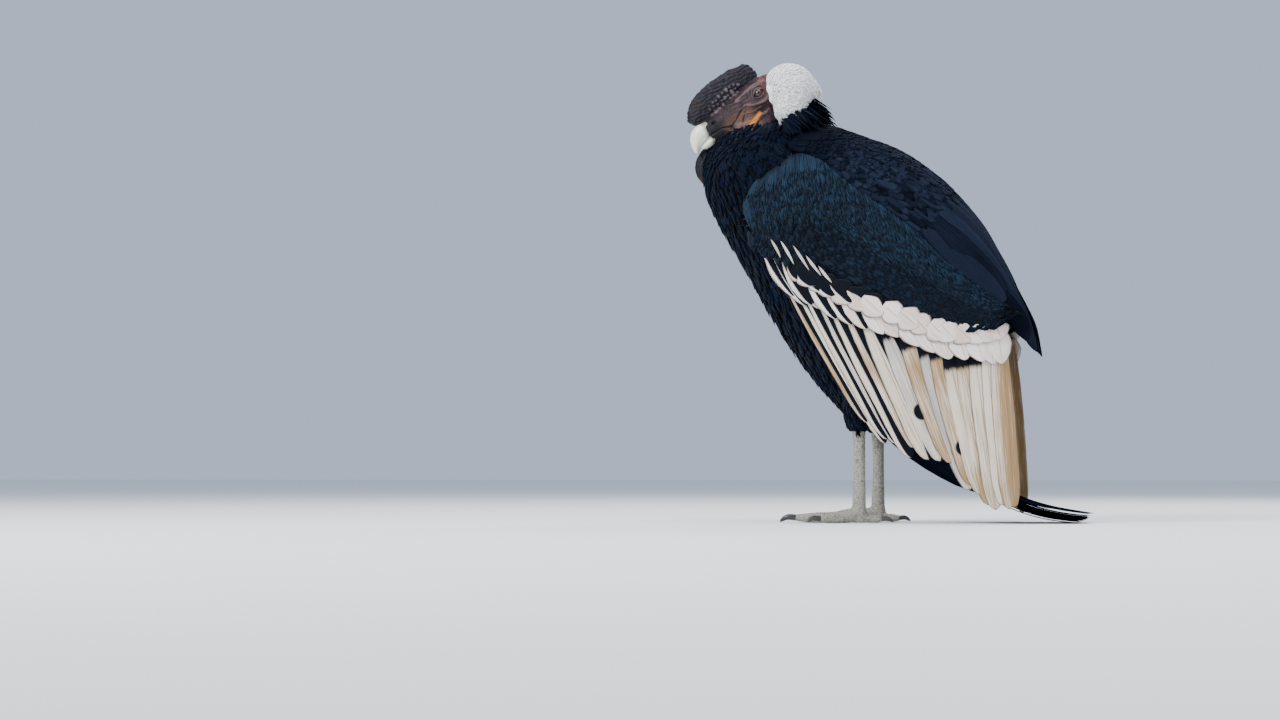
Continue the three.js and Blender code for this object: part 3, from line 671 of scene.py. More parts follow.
def limbPoints(points, radii, s, angle, squash=1.0, grow=0.0):
    # A tapered limb: path + across x cos(angle) x radius + up x sin(angle) x radius x squash
    s, angle = paired(s, angle)
    centre = curve(points, s)
    way = unit(curve(points, np.clip(s + 0.01, 0, 1)) - curve(points, np.clip(s - 0.01, 0, 1)))
    flat = np.cross(np.array([0, 0, 1.0]), way)
    upright = (flat**2).sum(-1, keepdims=True) < 0.2
    flat = unit(np.where(upright, np.array([0, 1.0, 0]), flat))
    rise = np.cross(way, flat)
    radius = curve(np.asarray(radii, float)[:, None], np.clip(s, 0, 1)) + grow
    across, up = np.cos(angle)[..., None], np.sin(angle)[..., None]
    return centre + flat * across * radius + rise * up * radius * squash


def limbSkin(points, radii, rings, sides, squash=1.0, swell=None):
    # Closed skin of a limb, its ends flat
    s, angle = np.linspace(0, 1, rings)[:, None], around(sides)
    found = swollen(limbPoints(points, radii, s, angle, squash), swell, s, angle)
    middles = found.mean(1)
    return tube(found, [middles[0], middles[-1]])


# Legs: how far out to the side they stand, how high hock and ankle are, the x and the turn of each foot,
# and turn, length, radius and claw length of each toe, in millimetres and degrees
legSizes = {
    "out": 52, "hock": 146, "ankle": 27, "stand": {"left": (-4, 4), "right": (14, -3)},
    "toes": {"middle": (0, 100, 11, 25), "inner": (-34, 72, 10, 23), "outer": (34, 78, 9.5, 20),
             "hind": (176, 36, 8.5, 17)},
    "scute": 7.5,
}


def thighLine(side):
    # Middle line of a thigh, from the hip down to the hock
    x, y = legSizes["stand"][side][0], sideSign[side] * legSizes["out"]
    return [(x + 6, y, 285), (x + 4, y, 215), (x, y, 165), (x, y, legSizes["hock"])]


def toeWay(side, turn):
    # Places along a toe, from how far out and how far up they lie
    x, swing = legSizes["stand"][side]
    y = sideSign[side] * legSizes["out"]
    angle = math.pi + math.radians(turn * sideSign[side] + swing)
    return lambda far, up: (x + math.cos(angle) * far, y + math.sin(angle) * far, up)


def scutes(length):
    # Rings scaled by half waves, one for each plate of a leg of that length
    def swell(s, angle):
        wave = np.abs(np.sin(s * length / legSizes["scute"] * math.pi))
        return 1 + 0.045 * wave * np.ones_like(angle)

    return swell


def legSkins(side):
    # Thigh, tarsus with scutes in front, and toes with a pad under each joint
    x, y = legSizes["stand"][side][0], sideSign[side] * legSizes["out"]
    hock, ankle = legSizes["hock"], legSizes["ankle"]
    skins = [
        limbSkin([(x, y, hock + 16), (x, y, hock), (x + 1, y, 90), (x, y, ankle)],
                 [12, 12.5, 10, 8.8, 9.2, 10.6], 90, 36, swell=scutes(135)),
        limbSkin([(x, y, ankle + 3), (x, y, 16), (x, y, 1)], [10, 12.5, 11.5], 14, 30),
    ]
    for turn, length, radius, _ in legSizes["toes"].values():
        away = toeWay(side, turn)
        places = [(0, 1.15 * radius + 2), (0.35, 0.86 * radius), (0.7, 0.7 * radius), (1, 0.72 * radius)]
        radii = [radius * share for share in (1, 0.96, 0.78, 0.84, 0.7, 0.5)]
        skins.append(limbSkin([away(length * far, up) for far, up in places], radii, 60, 28, 0.92,
                              scutes(length)))
    return skins


# Face: folds, creases and bulbs, placed in x and z of the head frame on both sides. Ridges and creases
# hold their height or depth, width and places; pits their place, radius, depth and the height of the rim.
faceForms = {
    "ridges": [
        (1.5, 2.6, [(-36, 13), (-16, 16), (2, 18), (17, 15)]),
        (1.3, 2.2, [(-30, -2), (-15, -11), (4, -14), (17, -4)]),
        (1.2, 3.0, [(-56, -20), (-40, -27), (-22, -30), (0, -29)]), (1.2, 1.6, [(8, 14), (12, 20), (20, 24)]),
        (1.0, 1.5, [(16, -4), (21, 6), (19, 16)]), (0.9, 1.4, [(24, -8), (28, 4), (26, 18)]),
        (0.9, 1.3, [(-20, 8), (-34, 10), (-50, 16)]), (0.8, 1.2, [(-18, 2), (-36, 4), (-54, 9)]),
        (0.8, 1.2, [(-18, -4), (-34, -3), (-52, 1)]), (1.1, 1.8, [(10, -22), (22, -26), (32, -20)]),
        (0.8, 1.4, [(-8, -20), (-26, -17), (-40, -12)]), (0.9, 1.6, [(34, -6), (36, 6), (33, 16)]),
    ],
    "creases": [
        (1.7, 1.2, [(-99, -8), (-88, -8.5), (-76, -11), (-66, -17), (-62, -24)]),
        (1.3, 1.1, [(-67, -19), (-48, -9), (-30, 0)]), (1.0, 1.1, [(-58, -30), (-44, -20), (-34, -10)]),
        (1.0, 1.0, [(-22, 12), (-40, 18), (-60, 17)]), (0.9, 1.0, [(14, -12), (19, 2), (16, 12)]),
        (0.9, 1.0, [(-19, -36), (-36, -39), (-50, -36)]),
    ],
    "orange": [(-17, -26), (-30, -31), (-50, -37)],
    "beads": {"from": (-83, 24), "to": (-12, 33), "rows": (-6, 1.4, 8.6), "step": 7.6, "size": (2.6, 4.5)},
    "pits": [((-86, 6), 3.6, 4.0, 0.5), ((27, -12), 4.4, 4.5, 1.6)],
}


def crownAt(x):
    # Height of the top of the skull at x, in the head frame
    rings = np.asarray(skullRings, float)
    return np.interp(x, rings[::-1, 0], rings[::-1, 1])


def beadPlaces():
    # Nodules in slanting rows along the side of the comb, with their sizes
    forms = faceForms["beads"]
    (x0, z0), (x1, z1) = forms["from"], forms["to"]
    places = []
    for row, up in enumerate(forms["rows"]):
        for x in np.arange(x0 + 4 * (row % 2) + abs(up) * 0.8, x1 - abs(up - 3) * 1.1, forms["step"]):
            z = mix(z0, z1, (x - x0) / (x1 - x0)) + up
            aside, above = draw.uniform(-1.3, 1.3), draw.uniform(-1.1, 1.1)
            places.append((x + aside, z + above, draw.uniform(*forms["size"])))
    return places


def faceRelief(local, normals):
    # Moves the points of the head along their normals: ridges and creases with a bell-shaped section,
    # bulbs as half spheres, a socket for the eye with lids round it, nostril and ear as pits
    wander = np.stack([ripple(local, 13, 21), ripple(local, 13, 22)], -1)
    flat = local[:, [0, 2]] + wander * 1.1
    sideways = smooth(0.25, 0.6, np.abs(normals[:, 1]))
    move = np.zeros(len(local))
    for height, width, places in faceForms["ridges"]:
        move += sideways * height * 1.5 * bell(nearLine(flat, places), width)
    for depth, width, places in faceForms["creases"]:
        move -= sideways * depth * bell(nearLine(flat, places), width)
    bead = np.zeros(len(local))
    for x, z, radius in beadPlaces():
        far = np.hypot(flat[:, 0] - x, flat[:, 1] - z)
        bead = np.maximum(bead, np.sqrt(np.maximum(0, 1 - (far / radius) ** 2)) * radius * 0.85)
    bead *= smooth(0.2, 0.5, np.abs(normals[:, 1]))
    x, z = local[:, 0], local[:, 2] - headPlace["eyeUp"]
    far = np.hypot(x, z)
    opening = np.abs(z + 0.5 - 0.05 * x) - 3.3 * np.sqrt(np.maximum(0, 1 - (x / 8.2) ** 2))
    socket = smooth(0.7, -0.8, opening) * (np.abs(x) < 8.2)
    turn = np.arctan2(z, x) + ripple(local, 18, 25) * 0.5
    # Rings round the eye: the rim of the lids, a wavy fold, the crease between them, a broken outer fold
    lids = bell(far - 7.6, 1.9) * (1.9 + 0.6 * np.sin(turn))
    lids += bell(far - 12.6 - 1.2 * np.sin(turn * 2), 1.2) * (1.0 + 0.8 * np.sin(turn - 0.4))
    lids -= bell(far - 10.2 - np.sin(turn * 2 + 1), 0.8) * 0.9
    lids += bell(far - 16.8, 1.2) * 1.2 * (0.5 + 0.5 * np.sin(np.arctan2(z, x) * 3))
    move += sideways * (lids * (1 - socket) - 5.0 * socket)
    for (px, pz), radius, depth, rim in faceForms["pits"]:
        away = np.hypot(flat[:, 0] - px, flat[:, 1] - pz)
        move += sideways * (rim * bell(away - radius, 1.3) - depth * smooth(radius, radius * 0.4, away))
    high = smooth(-4, 6, local[:, 2] - crownAt(local[:, 0]))
    furrows = np.sin(local[:, 2] * 1.05 + local[:, 0] * 0.22 + ripple(local, 26, 23) * 2.6)
    move += high * (furrows * 0.45 + ripple(local, 8, 24) * 0.4) * (bead < 0.2)
    return move + bead, bead, socket * sideways, move


def skinMarks(points, normals):
    # Where each finish of the skin lies, from 0 to 1, worked out in the head frame
    local = toHead(points)
    x, z = local[:, 0], local[:, 2]
    onHead = smooth(64, 50, x) * (points[:, 2] > 560)
    comb = onHead * np.maximum(smooth(-2, 4, z - crownAt(x)) * (x < 22), smooth(-99, -103, x) * (z > 12))
    front = smooth(-72, -84, x) * (1 - comb)
    red = smooth(4, 14, x) * smooth(-26, -8, z)
    tan = smooth(-84, -66, x) * smooth(-14, -32, x) * smooth(4, -14, z)
    orange = np.exp(-(nearLine(np.stack([x, z], -1), faceForms["orange"]) / 3.3) ** 4)
    return {"comb": comb, "front": front * onHead, "red": red * onHead, "tan": tan * onHead,
            "orange": orange * onHead * smooth(0.1, 0.3, np.abs(normals[:, 1])),
            "leg": (points[:, 2] < 175).astype(float)}


def skinMaterial():
    # Bare skin: wrinkled brown-grey face with painted highlight on its raised folds and painted shade in its
    # creases, wrinkle lines and eye socket, dark ridged comb with paler beads, orange fold, scaled legs
    shader = Shader("bareSkin", Roughness=0.55, Specular_IOR_Level=0.22)
    comb, front, red, tan = (shader.mark(key) for key in ("comb", "front", "red", "tan"))
    orange, leg, bead, socketShade, fold = (shader.mark(key) for key in ("orange", "leg", "bead", "socketShade", "fold"))
    cloud, fine = shader.noise(60.0, 4.0), shader.noise(240.0, 4.0, warp=0.6)
    wrinkles = shader.cells(330.0)
    grooves = shader.noise(150.0, 3.0, warp=1.6)
    scale = shader.cells(210.0)
    face = shader.layers(
        tint(18, 9, 15), (shader.step(cloud, 0.3, 0.7), tint(56, 34, 43)),
        (red * (0.5 + cloud * 0.6), tint(84, 30, 30)),
        (tan * (0.3 + cloud * 0.8), tint(104, 76, 60)),
        (front * 0.92, tint(4, 7, 16)),
        # Painted highlight and shade: the raised folds and lids lighter, the sunk creases, socket and pits
        # darker, from the height of the relief
        (shader.step(fold, 0.4, 2.0) * 0.6, tint(112, 90, 84)),
        (shader.step(fold, -0.1, -0.8) * 0.9, tint(14, 8, 12)),
        (orange * 0.95, tint(206, 118, 0)))
    crest = shader.layers(
        tint(3, 2, 8), (shader.step(grooves, 0.42, 0.6), tint(27, 19, 38)),
        (shader.step(cloud, 0.5, 0.68) * 0.5, tint(40, 27, 22)),
        (shader.step(bead, 0.8, 3.2) * (0.35 + fine * 0.6), tint(104, 98, 100)))
    shank = shader.layers(tint(132, 128, 118), (cloud, tint(176, 172, 160)),
                          (shader.step(scale, 0.1, 0.0) * 0.7, tint(70, 66, 60)))
    colour = shader.layers(
        face, (comb, crest),
        (shader.step(bead, 0.8, 2.6) * (1 - comb) * 0.6, tint(112, 98, 94)),
        # Painted shade: the grooves between the fine wrinkles darker
        (shader.step(wrinkles, 0.14, 0.0) * 0.4, tint(20, 14, 18)),
        # Painted shade: the eye socket round the ball painted near black
        (leg, shank), (shader.mark("clothed"), tint(6, 11, 22)), (socketShade, tint(12, 8, 8)))
    height = grooves * 0.5 + shader.step(wrinkles, 0.0, 0.3) * 0.5 + shader.step(scale, 0.0, 0.25) * leg
    return shader.finish(Base_Color=colour, Roughness=(cloud * 0.2 + 0.42).within(),
                         Normal=shader.bump(height, 0.55, 0.0011))


def skinPiece():
    # One skin for trunk, neck, wattle, head, comb and legs: the bare parts fused and worked over,
    # the trunk under them plain and inside the coat
    combSwell = lambda s, angle: 1 + 0.03 * np.sin(s * 19) * np.cos(angle)
    bare = [
        inHead(loftSkin(skullRings, 60, 64, (11, 0), square=0.92)),
        inHead(loftSkin(combRings, 50, 40, (1, 3), swell=combSwell)),
        loftSkin(neckRings, 30, 48, (4, 4), -1.5), loftSkin(wattleRings, 24, 20, (2, 2)),
    ]
    points, faces = fused("head", bare, 1.45, 3)
    normals = pointNormals(points, faces)
    local = toHead(points)
    move, bead, socketShade, fold = faceRelief(local, normals @ headTurn)
    near = smooth(60, 48, local[:, 0]) * (points[:, 2] > 600)
    rough = ripple(points, 9, 3) * 0.25 + ripple(points, 4.5, 4) * 0.14
    points = points + normals * (move * near + rough)[:, None]
    legs, legFaces = fused("legs", legSkins("left") + legSkins("right"), 1.7, 2)
    legs[:, 2] = np.maximum(legs[:, 2], 0.05)
    split = lambda quads: np.concatenate([quads[:, :3], quads[:, [0, 2, 3]]])
    parts = [(points, split(faces)), (legs, split(legFaces)), loftSkin(trunkRings, 40, 48, (10, 4), -4.0)]
    parts += [limbSkin(thighLine(side), [30, 30, 27, 22, 17, 13], 24, 24) for side in sideSign]
    whole, triangles = joined(parts)
    outward = pointNormals(whole, triangles)
    marks = skinMarks(whole, outward)
    spare = len(whole) - len(points)
    # The fold mark is the height of the relief, which the skin turns into painted highlight on folds and
    # painted shade in creases
    # The socket mark: where the eye socket gets painted shade
    for key, values in (("bead", bead), ("socketShade", socketShade), ("fold", np.clip(fold, -2, 3))):
        marks[key] = np.concatenate([values * near, np.zeros(spare)])
    throat = smooth(0, 8, np.abs(points[:, 1]) - 9) * smooth(628, 612, points[:, 2])
    marks["clothed"] = np.concatenate([throat, np.zeros(len(legs)), np.ones(spare - len(legs))])
    obj = putMesh("skin", whole, triangles, marks)
    flesh = ["trunk", "neck", "wattle", "head", "comb"]
    flesh += [f"{part}_{side}" for part in ("thigh", "tarsus", "foot") for side in sideSign]
    finished(obj, skinMaterial(), flesh)


def hornMaterial(name, pale, dark, roughness):
    # Horn: pale body that darkens with the mark, with fine growth lines
    shader = Shader(name, Roughness=roughness, Coat_Weight=0.25, Coat_Roughness=0.2)
    dusk, cloud = shader.mark("dusk"), shader.noise(70.0, 4.0)
    colour = shader.blend((dusk + cloud * 0.3 - 0.15).within(), pale, dark)
    lines = shader.noise(420.0, 2.0, warp=2.0)
    return shader.finish(Base_Color=colour, Roughness=(cloud * 0.16 + roughness - 0.08).within(),
                         Normal=shader.bump(lines, 0.2, 0.0005))


def billPieces():
    # Two hooked lofts of horn, dusky at their roots and under the tip
    ivory = hornMaterial("billHorn", tint(222, 224, 202), tint(92, 84, 66), 0.35)
    for name, node, rings, ends in (("upperBill", "bill_upper", upperBillRings, (0, 2)),
                                    ("lowerBill", "bill_lower", lowerBillRings, (0, 1))):
        points, faces = loftSkin(rings, 60, 48, ends, -0.15, back=0.12)
        x, z = points[:, 0], points[:, 2]
        dusk = smooth(-107, -101, x) * 0.8 + smooth(-12, -22, z) * (0.5 if node == "bill_upper" else 0.15)
        obj = putMesh(name, fromHead(points), faces, {"dusk": dusk})
        finished(obj, ivory, [node])


def clawPieces():
    # Tapered limbs that run on from the toes and bend down to the floor
    horn = hornMaterial("clawHorn", tint(74, 70, 66), tint(22, 20, 20), 0.32)
    for side in sideSign:
        parts, nodes = [], []
        for toe, (turn, length, radius, reach) in legSizes["toes"].items():
            away = toeWay(side, turn)
            line = [away(length - 3, radius * 0.72), away(length + reach * 0.5, radius * 0.8),
                    away(length + reach * 0.85, radius * 0.42), away(length + reach, 1.3)]
            radii = [radius * share for share in (0.44, 0.44, 0.36, 0.22)]
            parts.append(limbSkin(line, [*radii, 0.8], 26, 20))
            nodes.append(f"claw_{toe}_{side}")
        points, faces = joined(parts)
        points[:, 2] = np.maximum(points[:, 2], 0.05)
        dusk = ripple(points, 30, 5) * 0.4 + 0.5
        finished(putMesh(f"claws_{side}", points, faces, {"dusk": dusk}), horn, nodes)


def eyePieces():
    # Ball with an iris and a pupil round the outward axis, and a slightly raised clear front
    shader = Shader("eyeGlass", Roughness=0.25, Coat_Weight=0.12, Coat_Roughness=0.1)
    away, fine = shader.mark("away"), shader.noise(900.0, 2.0)
    # Pupil, iris and dark border, by the angle from the axis in radians
    glass = shader.finish(Base_Color=shader.layers(
        tint(3, 2, 2), (shader.step(away, 0.2, 0.24), tint(46, 22, 12)),
        (shader.step(away, 0.24, 0.5) * (0.5 + fine * 0.6), tint(52, 24, 14)),
        (shader.step(away, 0.52, 0.6), tint(20, 14, 14))))
    for side, sign in sideSign.items():
        polar, turn = np.linspace(0.04, math.pi - 0.04, 40)[:, None], around(48)
        radius = headPlace["eyeRadius"] - 0.2 + 0.5 * bell(polar, 0.5)
        ball = np.stack([np.sin(polar) * np.cos(turn), np.cos(polar) * np.ones_like(turn) * sign,
                         np.sin(polar) * np.sin(turn)], -1) * radius[..., None]
        ends = [(0, sign * radius[0, 0], 0), (0, -sign * radius[-1, 0], 0)]
        points, faces = tube(ball, ends)
        away = np.arccos(np.clip(points[:, 1] * sign / np.linalg.norm(points, axis=1), -1, 1))
        points = points + np.array([0, sign * headPlace["eyeOut"], headPlace["eyeUp"]])
        obj = putMesh(f"eye_{side}_ball", fromHead(points), faces, {"away": away})
        finished(obj, glass, [f"eye_{side}"])


# Coat of the body: small feathers that follow trunk, neck and thighs

def outwardOf(surface, middle, u, v):
    # 1 where the normal of the surface points away from its middle line, otherwise -1
    return 1 if ((surface(u, v) - middle(u)) * normalOn(surface, u, v)).sum() > 0 else -1


# Lengths, widths and heights over the skin in millimetres. From and to: corners of the part that grows
# feathers, along it and round it. Loose: how far the tips stray up or down.
bodyCoat = {
    "trunk": {"count": 4650, "length": (28, 46), "width": (10, 16), "lift": (-2.0, 2.2), "stray": 0.12,
              "from": (-0.02, 0), "to": (0.97, 1), "inset": -3.0},
    "neck": {"count": 1400, "length": (18, 28), "width": (5.5, 9), "lift": (-1.5, 1.2), "stray": 0.14,
             "from": (0.12, 0.02), "to": (0.9, 0.98), "inset": -1.2},
    "thigh": {"count": 330, "length": (30, 46), "width": (9, 14), "lift": (-1.0, 3.2), "stray": 0.22,
              "from": (0.28, 0), "to": (0.96, 1), "inset": -3.0},
    "loose": (-0.5, 1.2), "thighRadii": [34, 33, 30, 25, 20, 14], "thick": 0.45, "cup": 0.2,
}


def bodyFeathers(coat, kind, surface, middle, seed, band):
    # Feathers of one part: each starts sunk in the skin, lies along it towards the tail, and ends raised;
    # band: where its share of the bake map starts, and how wide it is
    sizes = bodyCoat[kind]
    u, v = scattered(sizes["count"], sizes["from"], sizes["to"], seed)
    order = np.random.default_rng(seed)
    length = order.uniform(*sizes["length"], len(u))
    width = order.uniform(*sizes["width"], len(u))
    e = 2e-3
    heading = strayed(order, unit(surface(u + e, v) - surface(u, v)), sizes["stray"])
    shape = outline(5, 0.5, 0.5, 0.45, 0.1, 0.7)
    s = shape[0]
    sign = outwardOf(surface, middle, np.array([0.5]), np.array([0.2]))
    lift = raised(order, len(u), sizes["lift"], bodyCoat["loose"], s)
    line, normal = layOn(surface, u, v, heading, length, lift, s, sign)
    spot = np.stack([(v % 1) * 0.9 + 0.04, np.clip(u, 0, 1) * band[1] + band[0]], -1)
    coat.add(line, normal, width, shape, thick=bodyCoat["thick"], cup=bodyCoat["cup"], spot=spot,
             roll=order.normal(0, 0.12, len(u)))


def bodyPieces():
    # Breast coat over trunk and neck, and a coat for both thighs
    coat, legs = Coat(), Coat()
    for kind, rings, seed, band in (("trunk", trunkRings, 21, (0.05, 0.6)),
                                    ("neck", neckRings, 22, (0.7, 0.12))):
        surface = lambda u, v: loft(rings, u, v * 2 * math.pi, bodyCoat[kind]["inset"])
        middle = lambda u: (loft(rings, u, 0.0) + loft(rings, u, math.pi)) / 2
        bodyFeathers(coat, kind, surface, middle, seed, band)
    coat.build("breastCoat", materials["breast"], "black_feathers", [])
    for k, side in enumerate(sideSign):
        line = thighLine(side)
        thigh = lambda u, v: limbPoints(line, bodyCoat["thighRadii"], u, v * 2 * math.pi, 1.0,
                                        bodyCoat["thigh"]["inset"])
        bodyFeathers(legs, "thigh", thigh, lambda u: curve(line, u), 31 + k, (0.05 + 0.45 * k, 0.4))
    legs.build("thighCoat", materials["breast"], "black_feathers", [])


# Wing: points of its outer surface, of the skirt of feathers below it and of the roof over the back, each
# from front to back; thin and thick: at the edges and halfway up; bulges in millimetres

wingLines = {
    "coverts": [(-153, 117, 444), (-91, 135, 406), (-19, 147, 368), (70, 152, 330), (138, 148, 307),
                (200, 140, 306), (234, 131, 318)],
    "upper": [(-145, 94, 552), (-76, 97, 588), (-12, 109, 542), (56, 115, 494), (134, 114, 426),
              (198, 108, 370), (238, 102, 334)],
    "tips": [(23, 112, 142), (58, 112, 120), (103, 112, 100), (156, 111, 74), (192, 109, 40),
             (224, 106, 24), (250, 101, 24)],
    "bulge": 13, "thin": 27, "thick": 50, "skirtBulge": 4,
    "ridge": [(-54, 0, 640), (8, 0, 616), (65, 0, 592), (126, 0, 547), (172, 1, 497), (210, 7, 430),
              (248, 24, 348), (276, 46, 268)],
    "roof": [(-104, 95, 598), (-62, 101, 584), (-6, 113, 540), (60, 119, 490), (134, 119, 420),
             (200, 113, 362), (246, 108, 316), (272, 102, 260)],
}


def wingSurface(u, v, inset=0.0):
    # Between the covert edge and the upper edge, bulged outwards, and forwards at the wrist
    u, v = paired(u, v)
    found = mix(curve(wingLines["coverts"], u), curve(wingLines["upper"], u), v[..., None])
    crown = np.sin(math.pi * np.clip(v, 0, 1))
    return found + np.stack([-14 * crown * (1 - smooth(0, 0.2, u)), wingLines["bulge"] * crown - inset,
                             np.zeros_like(u)], -1)


def skirt(u, w, depth=0.0):
    # Between the covert edge and the tips of the secondaries, at a depth in the wing
    u, w = paired(u, w)
    found = mix(curve(wingLines["coverts"], u), curve(wingLines["tips"], u), w[..., None])
    found = found.copy()
    found[..., 1] += wingLines["skirtBulge"] * np.sin(math.pi * np.clip(w, 0, 1)) - depth
    return found


def roof(u, w, lift=0.0):
    # Quarter ovals from the ridge of the back over to the wing, raised along their own direction
    u, w = paired(u, w)
    top, side = curve(wingLines["ridge"], u), curve(wingLines["roof"], u)
    c, s = np.cos(w * math.pi / 2), np.sin(w * math.pi / 2)
    return np.stack([mix(side[..., 0], top[..., 0], c) + lift * c * 0.6,
                     mix(top[..., 1], side[..., 1], s) + lift * s,
                     mix(side[..., 2], top[..., 2], c) + lift * c * 0.8], -1)


def slab(outer, inner):
    # Closed plate between two grids of points, with walls round the border
    rows, columns = outer.shape[:2]
    top = np.arange(rows * columns).reshape(rows, columns)
    low = top + rows * columns
    ring = np.concatenate([top[0, :-1], top[:-1, -1], top[-1, :0:-1], top[:0:-1, 0]])
    after = np.roll(ring, -1)
    wall = np.stack([after, ring, ring + rows * columns, after + rows * columns], -1)
    points = np.concatenate([outer.reshape(-1, 3), inner.reshape(-1, 3)])
    faces = np.concatenate([quadsOf(top), quadsOf(low)[:, ::-1], wall])
    return facingOut(points, faces)


def underlay(coat, part, mirrored):
    # Adds the closed body that feathers lie on to their piece, baked in a corner of its map
    points, faces = part
    if mirrored:
        points, faces = points * np.array([1, -1, 1]), faces[:, ::-1]
    count = len(points)
    level = lambda value: np.full(count, float(value))
    coat.points.append(points)
    coat.faces.append(faces + coat.total)
    coat.marks.append({"edge": level(0), "share": level(0.3), "tone": level(0.2), "across": level(0.004),
                       "along": level(0.01), "inner": level(-3), "notchAt": level(-9)})
    coat.patches.append(0.985 + (points[:, :2] % 10) / 10000)
    coat.total += count


# From and to: corners of the part of the wing that a kind grows on. Reach: how far down the wing a
# feather may go at most.
wingCoat = {
    "middle": {"count": 1100, "length": (38, 54), "width": (17, 24), "lift": (-2.0, 1.6),
               "from": (-0.03, 0.1), "to": (0.97, 0.85), "fall": 0.5},
    "lesser": {"count": 2500, "length": (38, 60), "width": (5.0, 7.2), "lift": (-1.5, 2.4),
               "from": (-0.04, 0.52), "to": (0.98, 1.04), "fall": 0.25},
    "loose": (-0.4, 0.9), "inset": 3.4, "reach": 0.42, "stray": 0.055, "thick": 0.4, "cup": 0.2,
}


def wingPieces(side):
    # Dark coverts: fine narrow ones from the upper edge down, broad soft ones over the lower half
    mirrored = side == "left"
    surface = lambda u, v: wingSurface(u, v, wingCoat["inset"])
    coat = Coat()
    u, v = np.linspace(0, 1, 60)[:, None], np.linspace(0.012, 1, 26)[None]
    # The body under the feathers: thickest halfway up, thinner at its top, the wrist and the elbow
    thick = mix(wingLines["thin"], wingLines["thick"], np.sin(math.pi * v)) * (1 - 0.72 * smooth(0.6, 1, v))
    thick = (thick * mix(0.4, 1, smooth(0, 0.14, u)) * mix(0.55, 1, smooth(0, 0.1, 1 - u)) - 6)[..., None]
    outer = wingSurface(u, v, wingCoat["inset"] + 0.5)
    underlay(coat, slab(outer, outer - thick * np.array([0, 1, 0])), mirrored)
    seed = 41 if mirrored else 51
    for kind in ("middle", "lesser"):
        sizes = wingCoat[kind]
        order = np.random.default_rng(seed)
        u, v = scattered(sizes["count"], sizes["from"], sizes["to"], seed)
        seed += 1
        length = order.uniform(*sizes["length"], len(u)) * mix(0.8, 1.1, u)
        width = order.uniform(*sizes["width"], len(u))
        steep = smooth(0.25, 0.85, v) * smooth(1.05, 0.55, u)
        heading = mix(np.array([0.86, 0, -0.5]), np.array([0.3, 0, -0.95]), steep[:, None])
        heading = mix(heading, np.array([0.15, 0.0, -1.0]), (smooth(0.22, 0.0, u) * 0.8)[:, None])
        heading = strayed(order, heading, wingCoat["stray"])
        shape = outline(5, 0.5, 0.4, sizes["fall"], 0.08, 0.7)
        lift = raised(order, len(u), sizes["lift"], wingCoat["loose"], shape[0])
        line, normal = layOn(surface, u, v, heading, length, lift, shape[0], -1, wingCoat["reach"])
        if kind == "middle":
            tone = order.uniform(0, 0.22, len(u))
        else:
            strand = ripple(np.stack([u * 420, u * 0, v * 30], -1), 13, 5) * 0.5 + 0.5
            tone = order.uniform(0.1, 0.5, len(u)) + strand * 0.5
        coat.add(line, normal, width, shape, thick=wingCoat["thick"], cup=wingCoat["cup"], tone=tone,
                 spot=spotAt(u, v), roll=order.normal(0, 0.12, len(u)), mirrored=mirrored)
    coat.build(f"wingCoat_{side}", materials["wing"], "slate_feathers", [f"wing_{side}"])


# Flight feathers and the white coverts over them. Reach: how far down the skirt the row ends, at the
# wrist, the middle and the elbow. Inner: where the black inner web starts, at the wrist and the elbow.
# Dark: how far down from the quill the pale web is black. Notches: place in the row, share of the
# length and side of each black one.
flightRows = {
    "upperWhite": {"count": 16, "from": 0.12, "width": 44, "depth": 0.2, "roll": 2.5,
                   "reach": (0.1, 0.075, 0.11), "inner": (-0.6, 1.6), "rows": 12, "columns": 7, "thick": 0.7,
                   "start": 0.012, "slant": 0.045, "crowd": 1.2, "narrow": 1, "fall": 0.4, "blunt": 0.85},
    "lowerWhite": {"count": 16, "from": 0.0, "width": 44, "depth": 4.2, "roll": 5,
                   "reach": (0.3, 0.19, 0.23), "inner": (-0.5, 1.5), "rows": 14, "columns": 7, "thick": 0.8,
                   "start": 0.03, "slant": 0.022, "crowd": 1.2, "narrow": 1, "fall": 0.4, "blunt": 0.85},
    "secondaries": {"count": 17, "from": 0.0, "width": 35, "depth": 10.8, "roll": 8,
                    "reach": (1, 1, 1), "inner": (-0.42, 1.1), "rows": 26, "columns": 9, "thick": 1.0,
                    "start": 0.05, "slant": 0.0, "crowd": 1.0, "narrow": 0.72, "fall": 0.8, "blunt": 0.5,
                    "dark": 0.235, "notches": ((0.42, 0.68, 0.1), (0.63, 0.76, 0.15), (0.54, 0.86, 0.25))},
}


def threeWay(values, u):
    # Straight from the first value to the second at one half, and on to the third
    return np.where(u < 0.5, mix(values[0], values[1], u * 2), mix(values[1], values[2], u * 2 - 1))


